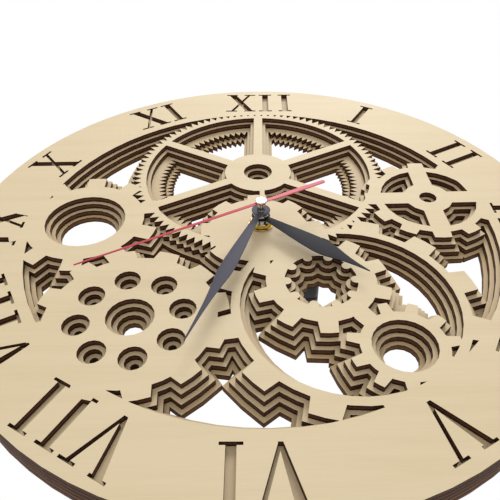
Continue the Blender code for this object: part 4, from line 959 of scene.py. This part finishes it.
@dataclass
class SecondHand:
    """Thin red hand with its round tail, held by a turned nickel boss."""

    edge_round: float = 0.1
    cap_radius: float = 2.9
    cap_length: float = 0.9
    cap_shoulder: Point = (0.16, 0.07)
    cap_slope: float = 0.5
    cap_drop: float = 0.25
    cap_back_bevel: float = 0.1
    barrel_radius: float = 1.7
    barrel_bevel: float = 0.15
    dot_radius: float = 0.45
    dot_taper: float = 0.9
    dot_lip: Point = (0.15, 0.05)
    dot_depth: float = 0.35
    pin_radius: float = 0.315
    pin_tip_radius: float = 0.225
    pin_depths: Place = (0.18, 0.22, 0.34)
    pin_steps: int = 24

    def build(self) -> None:
        """Dress the hand, turn the boss and set the end of the shaft in it."""
        hand = merged_copy("second_hand", "second_hand_pressed")
        round_edges(hand, self.edge_round)
        smooth(hand)
        finish_piece(hand, RED_LACQUER.make(), "second", "red_paint", "second_hand")
        front, back = depths("second_hand_boss")
        cap_back = front + self.cap_length
        profile = [
            (self.dot_radius * self.dot_taper, front + self.dot_depth),
            (self.dot_radius, front + self.dot_lip[1]),
            (self.dot_radius + self.dot_lip[0], front),
            (self.cap_radius - self.cap_slope, front),
            (self.cap_radius - self.cap_shoulder[0], front + self.cap_shoulder[1]),
            (self.cap_radius, front + self.cap_drop),
            (self.cap_radius, cap_back - self.cap_back_bevel),
            (self.cap_radius - self.cap_back_bevel, cap_back),
            (self.barrel_radius, cap_back),
            (self.barrel_radius, back - self.barrel_bevel),
            (self.barrel_radius - self.barrel_bevel, back),
        ]
        turn_node("second_hand_boss", profile, NICKEL.make(), "second", "nickel_plate", ring=False)
        # The shaft end sits in the cap's recess; its dark colour is partly painted shade of the recess.
        sizes = (self.pin_tip_radius, self.pin_radius, self.pin_radius)
        outline = [(radius, front + depth) for radius, depth in zip(sizes, self.pin_depths)]
        pin = turned("second_shaft_end", outline, HAND_AXIS, steps=self.pin_steps)
        finish_piece(pin, DARK_STEEL_WITH_PAINTED_SHADE.make(), "second", "nickel_plate")


@dataclass
class CentreFastening:
    """Threaded bush, brass nut and washers, and the collars of two hands."""

    thread_pitch: float = 0.75
    thread_depth: float = 0.35
    thread_lead: float = 0.12
    thread_flank: float = 0.4
    thread_crest: float = 0.12
    bush_chamfer: Point = (0.05, 0.1)
    collar_chamfer: float = 0.1
    dish_share: float = 0.4
    dish_depths: Point = (0.12, 0.16)
    dish_slope: float = 0.15
    brass_chamfer: float = 0.1
    rubber_chamfer: float = 0.25
    nut_chamfer: float = 0.55
    nut_face: Point = (0.3, 0.1)
    nut_step: float = 0.02
    nut_spare: float = 0.05
    countersink: float = 0.35
    drill_spare: float = 0.1
    nut_edge: float = 0.07
    nut_crease: float = 30.0

    def build(self) -> None:
        """Turn the round pieces and cut the nut."""
        nickel = NICKEL.make()
        brass = BRASS.make()
        self.collar("hour_hand_collar", "hour", nickel)
        self.collar("minute_hand_collar", "minute", nickel)
        for node, chamfer, material, slot in (
            ("brass_washer", self.brass_chamfer, brass, "brass"),
            ("rubber_washer", self.rubber_chamfer, RUBBER.make(), "rubber"),
        ):
            turn_node(node, ring_profile(*radii(node), *depths(node), chamfer), material, "clock", slot)
        turn_node("threaded_bush", self.bush_profile(), nickel, "clock", "nickel_plate")
        self.nut(brass)

    def collar(self, node: str, body: str, material: Material) -> None:
        """Turn a collar with a dished front that leaves a bright rim.

        Args:
            node: CAD node that it stands for.
            body: CAD body that it rides on.
            material: Its material.
        """
        inner, outer = radii(node)
        front, back = depths(node)
        mouth = inner + self.collar_chamfer
        floor = mouth + (outer - inner) * self.dish_share
        profile = ring_profile(inner, outer, front, back, self.collar_chamfer)
        profile[0:2] = [
            (mouth, front + self.dish_depths[0]),
            (floor, front + self.dish_depths[1]),
            (floor + self.dish_slope, front),
            (outer - self.collar_chamfer, front),
        ]
        turn_node(node, profile, material, body, "nickel_plate")

    def bush_profile(self) -> list[Point]:
        """Outline of the bush: chamfer, thread down to the dial, plain shank and bore."""
        inner, outer = radii("threaded_bush")
        front, back = depths("threaded_bush")
        slope, mouth = self.bush_chamfer
        root = outer - self.thread_depth
        flank = self.thread_pitch * self.thread_flank
        crest = self.thread_pitch * self.thread_crest
        points = [(inner + mouth, front), (root - slope, front)]
        turns = int((depths("dial_plate_front")[0] - front) / self.thread_pitch)
        for number in range(turns):
            start = front + self.thread_lead + number * self.thread_pitch
            points += [(root, start), (outer, start + flank), (outer, start + flank + crest)]
        run_out = points[-1][1] + flank
        return points + [(root, run_out), (root, back), (inner, back), (inner, front + mouth)]

    def nut(self, material: Material) -> None:
        """Cut the hexagonal nut with turned chamfers and a countersunk bore."""
        front, back = depths("hex_nut")
        inner, outer = radii("hex_nut")
        piece = many_sided("hex_nut_cut", "hex_nut", 6, outer, math.pi / 6.0)
        flat = outer * math.cos(math.pi / 6.0)
        corner = outer + self.nut_spare
        face, shoulder = self.nut_face
        blank = [
            (flat - face, front - self.nut_spare),
            (flat - shoulder, front + self.nut_step),
            (corner, front + self.nut_chamfer),
            (corner, back - self.nut_chamfer),
            (flat - shoulder, back - self.nut_step),
            (flat - face, back + self.nut_spare),
        ]
        combine(piece, turned("blank", blank, HAND_AXIS), Cut.KEEP_SHARED)
        mouth = inner + self.countersink
        drill = [
            (mouth, front - self.drill_spare),
            (mouth, front + self.nut_step),
            (inner, front + self.countersink),
            (inner, back - self.countersink),
            (mouth, back - self.nut_step),
            (mouth, back + self.drill_spare),
        ]
        combine(piece, turned("drill", drill, HAND_AXIS), Cut.REMOVE)
        round_edges(piece, self.nut_edge)
        smooth(piece, self.nut_crease)
        finish_piece(piece, material, "clock", "brass", "hex_nut")


@dataclass
class Movement:
    """Quartz movement behind the dial, with its hanger, knob and dry cell."""

    case_round: float = 0.3
    hanger_round: float = 0.18
    spring_round: float = 0.08
    knob_flutes: int = 20
    knob_faces: int = 4
    flute_share: float = 0.3
    flute_size: float = 0.93
    knob_spare: float = 0.2
    knob_bore_steps: int = 32
    knob_round: float = 0.12
    knob_crease: float = 30.0
    nub_length: float = 1.0
    nub_share: float = 0.3
    nub_steps: int = 40
    nub_outline: tuple[Point, ...] = ((2.9, 0.02), (2.7, 0.18), (2.65, 0.7), (2.35, 1.0))
    sleeve_mouth: float = 0.9
    sleeve_turn: float = 0.25
    sleeve_round: float = 0.35
    sealed: tuple[tuple[Finish, tuple[str, ...]], ...] = (
        (
            WHITE_ACETAL,
            (
                "hour_wheel",
                "centre_wheel",
                "second_wheel",
                "motion_wheel",
                "third_wheel",
                "step_wheel",
                "rotor_pinion",
                "coil_bobbin",
            ),
        ),
        (BLACK_ABS, ("train_bridge",)),
        (EPOXY, ("clock_chip",)),
        (FERRITE, ("rotor_magnet",)),
        (ZINC_SHEET, ("stator", "coil_core")),
        (COPPER_WIRE_WITH_PAINTED_GAP_SHADE, ("coil_winding",)),
        (CIRCUIT_BOARD, ("circuit_board",)),
        (NICKEL, ("quartz_crystal",)),
    )

    def build(self) -> None:
        """Dress the case, the sheet parts, the knob, the cell and the sealed parts."""
        plastic = BLACK_ABS.make()
        spring = SPRING_SHEET.make()
        for node in ("front_case", "rear_cover"):
            self.dress(node, "moulded", self.case_round, plastic, "black_plastic")
        self.dress("hanger", "bent_sheet", self.hanger_round, ZINC_SHEET.make(), "steel_sheet")
        for node in ("contact_plus", "contact_minus"):
            self.dress(node, "spring", self.spring_round, spring, "nickel_plate")
        self.knob()
        self.cell()
        self.sealed_parts()

    def dress(self, node: str, make: str, width: float, material: Material, slot: str) -> None:
        """Round a copy of a CAD node and give it its finish.

        Args:
            node: CAD node that is copied.
            make: How the piece is made, for its name.
            width: Width of the rounding in millimetres.
            material: Its material.
            slot: Material slot of the record.
        """
        piece = merged_copy(node, f"{node}_{make}")
        round_edges(piece, width)
        smooth(piece)
        finish_piece(piece, material, "clock", slot, node)

    def knob(self) -> None:
        """Cut the fluted knob that sets the hands, open inside up to the flutes' roots."""
        centre = middle_of("setting_knob")
        inner, outer = radii("setting_knob", centre)
        front, back = depths("setting_knob")
        sides = self.knob_flutes * self.knob_faces
        piece = many_sided("setting_knob_fluted", "setting_knob", sides, outer)
        start_edit(piece)
        flute = math.tau / self.knob_flutes

        def in_flute(place: Vector) -> bool:
            """Whether a point of the rim lies in the middle of a flute."""
            turn = math.atan2(place.z - centre.z, place.x - centre.x) % flute
            return abs(turn - flute / 2.0) < flute * self.flute_share

        select_vertices(piece, in_flute)
        size = (self.flute_size, 1.0, self.flute_size)
        bpy.ops.transform.resize(value=size, center_override=centre)
        end_edit()
        bore = [(inner, front - self.knob_spare), (inner, back + self.knob_spare)]
        drill = turned("drill", bore, centre, steps=self.knob_bore_steps)
        combine(piece, drill, Cut.REMOVE)
        round_edges(piece, self.knob_round, 1)
        smooth(piece, self.knob_crease)
        finish_piece(piece, BLACK_NYLON.make(), "motion", "black_plastic", "setting_knob")

    def cell(self) -> None:
        """Build the dry cell: its printed sleeve and the nub at one end."""
        low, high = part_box("battery")
        centre = middle_of("battery")
        left, right = low[0] / MM, high[0] / MM
        radius = (high[2] - low[2]) / 2.0 / MM
        forwards = self.nub_at_right(centre)
        start, end = (left, right - self.nub_length) if forwards else (left + self.nub_length, right)
        tail, head, step = (start, end, 1.0) if forwards else (end, start, -1.0)
        outline = [
            (radius - self.sleeve_mouth, start),
            (radius - self.sleeve_turn, start),
            (radius, start + self.sleeve_round),
            (radius, end - self.sleeve_round),
            (radius - self.sleeve_turn, end),
            (radius - self.sleeve_mouth, end),
        ]
        sleeve = turned("battery_sleeve", outline, centre, Direction.ACROSS)
        print_finish = PrintedSleeve(
            "printed_shrink_sleeve",
            "#23272E",
            0.34,
            coat=0.3,
            band_from=tail * MM,
            band_to=head * MM,
        )
        finish_piece(sleeve, print_finish.make(), "clock", "battery_wrap", "battery")
        outline = [(size, head + step * along) for size, along in self.nub_outline]
        nub = turned("battery_nub", outline, centre, Direction.ACROSS, steps=self.nub_steps)
        finish_piece(nub, SPRING_SHEET.make(), "clock", "nickel_plate")

    def nub_at_right(self, centre: Vector) -> bool:
        """Whether the thin nub of the CAD cell is at its right end."""
        low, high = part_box("battery")
        distances = [
            math.hypot(vertex.co.y - centre.y, vertex.co.z - centre.z)
            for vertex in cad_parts["battery"].data.vertices
            if abs(vertex.co.x - high[0]) < NO_ROOM
        ]
        return max(distances) < (high[2] - low[2]) * self.nub_share

    def sealed_parts(self) -> None:
        """Dress the parts inside the case, whose CAD shapes stay."""
        for finish, nodes in self.sealed:
            material = finish.make()
            for node in nodes:
                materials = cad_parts[node].data.materials
                if materials:
                    materials[0] = material
                else:
                    materials.append(material)
                LOG.info("%s: CAD shape, %s", node, finish.name)


@dataclass
class Studio:
    """Pale floor, soft light from the viewer's side, white surroundings and the camera."""

    floor_height: float = -0.62
    floor_size: float = 8.0
    ambient: float = 0.56
    key_power: float = 8.6
    key_place: Place = (0.20, -0.80, 1.05)
    key_size: float = 0.55
    fill_power: float = 1.5
    fill_place: Place = (-0.18, -1.35, -0.20)
    fill_size: float = 0.9
    lens: float = 41.16
    sensor: float = 36.0
    nearest: float = 0.005
    camera_place: Place = (-0.00869, -0.21148, -0.26423)
    camera_turn: Place = (138.877, 1.216, 0.512)

    def build(self) -> None:
        """Set up floor, surroundings, lamps and camera."""
        bpy.context.scene.view_settings.view_transform = "Standard"
        self.floor()
        self.surroundings()
        self.lamp("key_softbox", self.key_place, self.key_power, self.key_size)
        self.lamp("fill_softbox", self.fill_place, self.fill_power, self.fill_size)
        self.camera()

    def floor(self) -> None:
        """Lay a plain pale floor under the object."""
        deselect_all()
        bpy.ops.mesh.primitive_plane_add(size=self.floor_size, location=(0.0, 0.0, self.floor_height))
        floor = bpy.context.object
        floor.name = "floor"
        set_place(floor)
        paint = Finish("pale_floor_paint", "#E6E4E0", 0.7)
        floor.data.materials.append(paint.make())

    def surroundings(self) -> None:
        """Light the room evenly, and show it white to the camera and in reflections."""
        world = bpy.data.worlds.new("studio")
        bpy.context.scene.world = world
        world.use_nodes = True
        tree = world.node_tree
        tree.nodes.clear()
        path = add_node(tree, "LightPath").outputs
        rays = {0: path["Is Camera Ray"], 1: path["Is Glossy Ray"]}
        seen = add_node(tree, "Math", {"operation": "ADD"}, rays)
        rays = {0: seen, 1: path["Is Transmission Ray"]}
        shown = add_node(tree, "Math", {"operation": "ADD", "use_clamp": True}, rays)
        white = linear("#FFFFFF")
        light = add_node(tree, "Background", {"Color": white, "Strength": self.ambient})
        backdrop = add_node(tree, "Background", {"Color": white, "Strength": 1.0})
        mixed = add_node(tree, "MixShader", None, {0: shown, 1: light, 2: backdrop})
        add_node(tree, "OutputWorld", None, {"Surface": mixed})

    def lamp(self, name: str, place: Place, power: float, size: float) -> None:
        """Hang a square softbox that faces the dial.

        Args:
            name: Name of the lamp.
            place: Its place in metres.
            power: Its power in watts.
            size: Its side in metres.
        """
        data = bpy.data.lights.new(name, "AREA")
        data.energy = power
        data.size = size
        lamp = bpy.data.objects.new(name, data)
        bpy.context.scene.collection.objects.link(lamp)
        lamp.location = place
        aim = Vector((HAND_AXIS.x, depths("dial_plate_front")[0] * MM, HAND_AXIS.z)) - Vector(place)
        lamp.rotation_euler = aim.to_track_quat("-Z", "Y").to_euler()

    def camera(self) -> None:
        """Place the camera below the clock, looking up at it."""
        data = bpy.data.cameras.new("camera")
        data.lens = self.lens
        data.sensor_width = self.sensor
        data.clip_start = self.nearest
        camera = bpy.data.objects.new("camera", data)
        bpy.context.scene.collection.objects.link(camera)
        camera.location = self.camera_place
        camera.rotation_euler = [math.radians(turn) for turn in self.camera_turn]
        bpy.context.scene.camera = camera


HOUR_HAND = PressedHand(
    node="hour_hand",
    body="hour",
    length=63.0,
    angle=-41.6,
    width=10.8,
    stations=(
        (0.04, 0.32),
        (0.20, 0.50),
        (0.38, 0.80),
        (0.57, 1.0),
        (0.65, 0.92),
        (0.76, 0.50),
        (0.88, 0.20),
    ),
)
MINUTE_HAND = PressedHand(
    node="minute_hand",
    body="minute",
    length=88.5,
    angle=-111.7,
    width=7.6,
    stations=(
        (0.03, 0.36),
        (0.16, 0.50),
        (0.33, 0.78),
        (0.52, 1.0),
        (0.60, 0.72),
        (0.70, 0.42),
        (0.84, 0.20),
    ),
)


def main() -> None:
    """Build the clock piece by piece, then the studio."""
    logging.basicConfig(level=logging.INFO, format="%(name)s: %(message)s")
    PlywoodDial().build()
    HOUR_HAND.build(HOUR_LACQUER.make())
    MINUTE_HAND.build(MINUTE_LACQUER_WITH_PAINTED_SHEEN.make())
    SecondHand().build()
    CentreFastening().build()
    Movement().build()
    Studio().build()


if __name__ == "__main__":
    main()
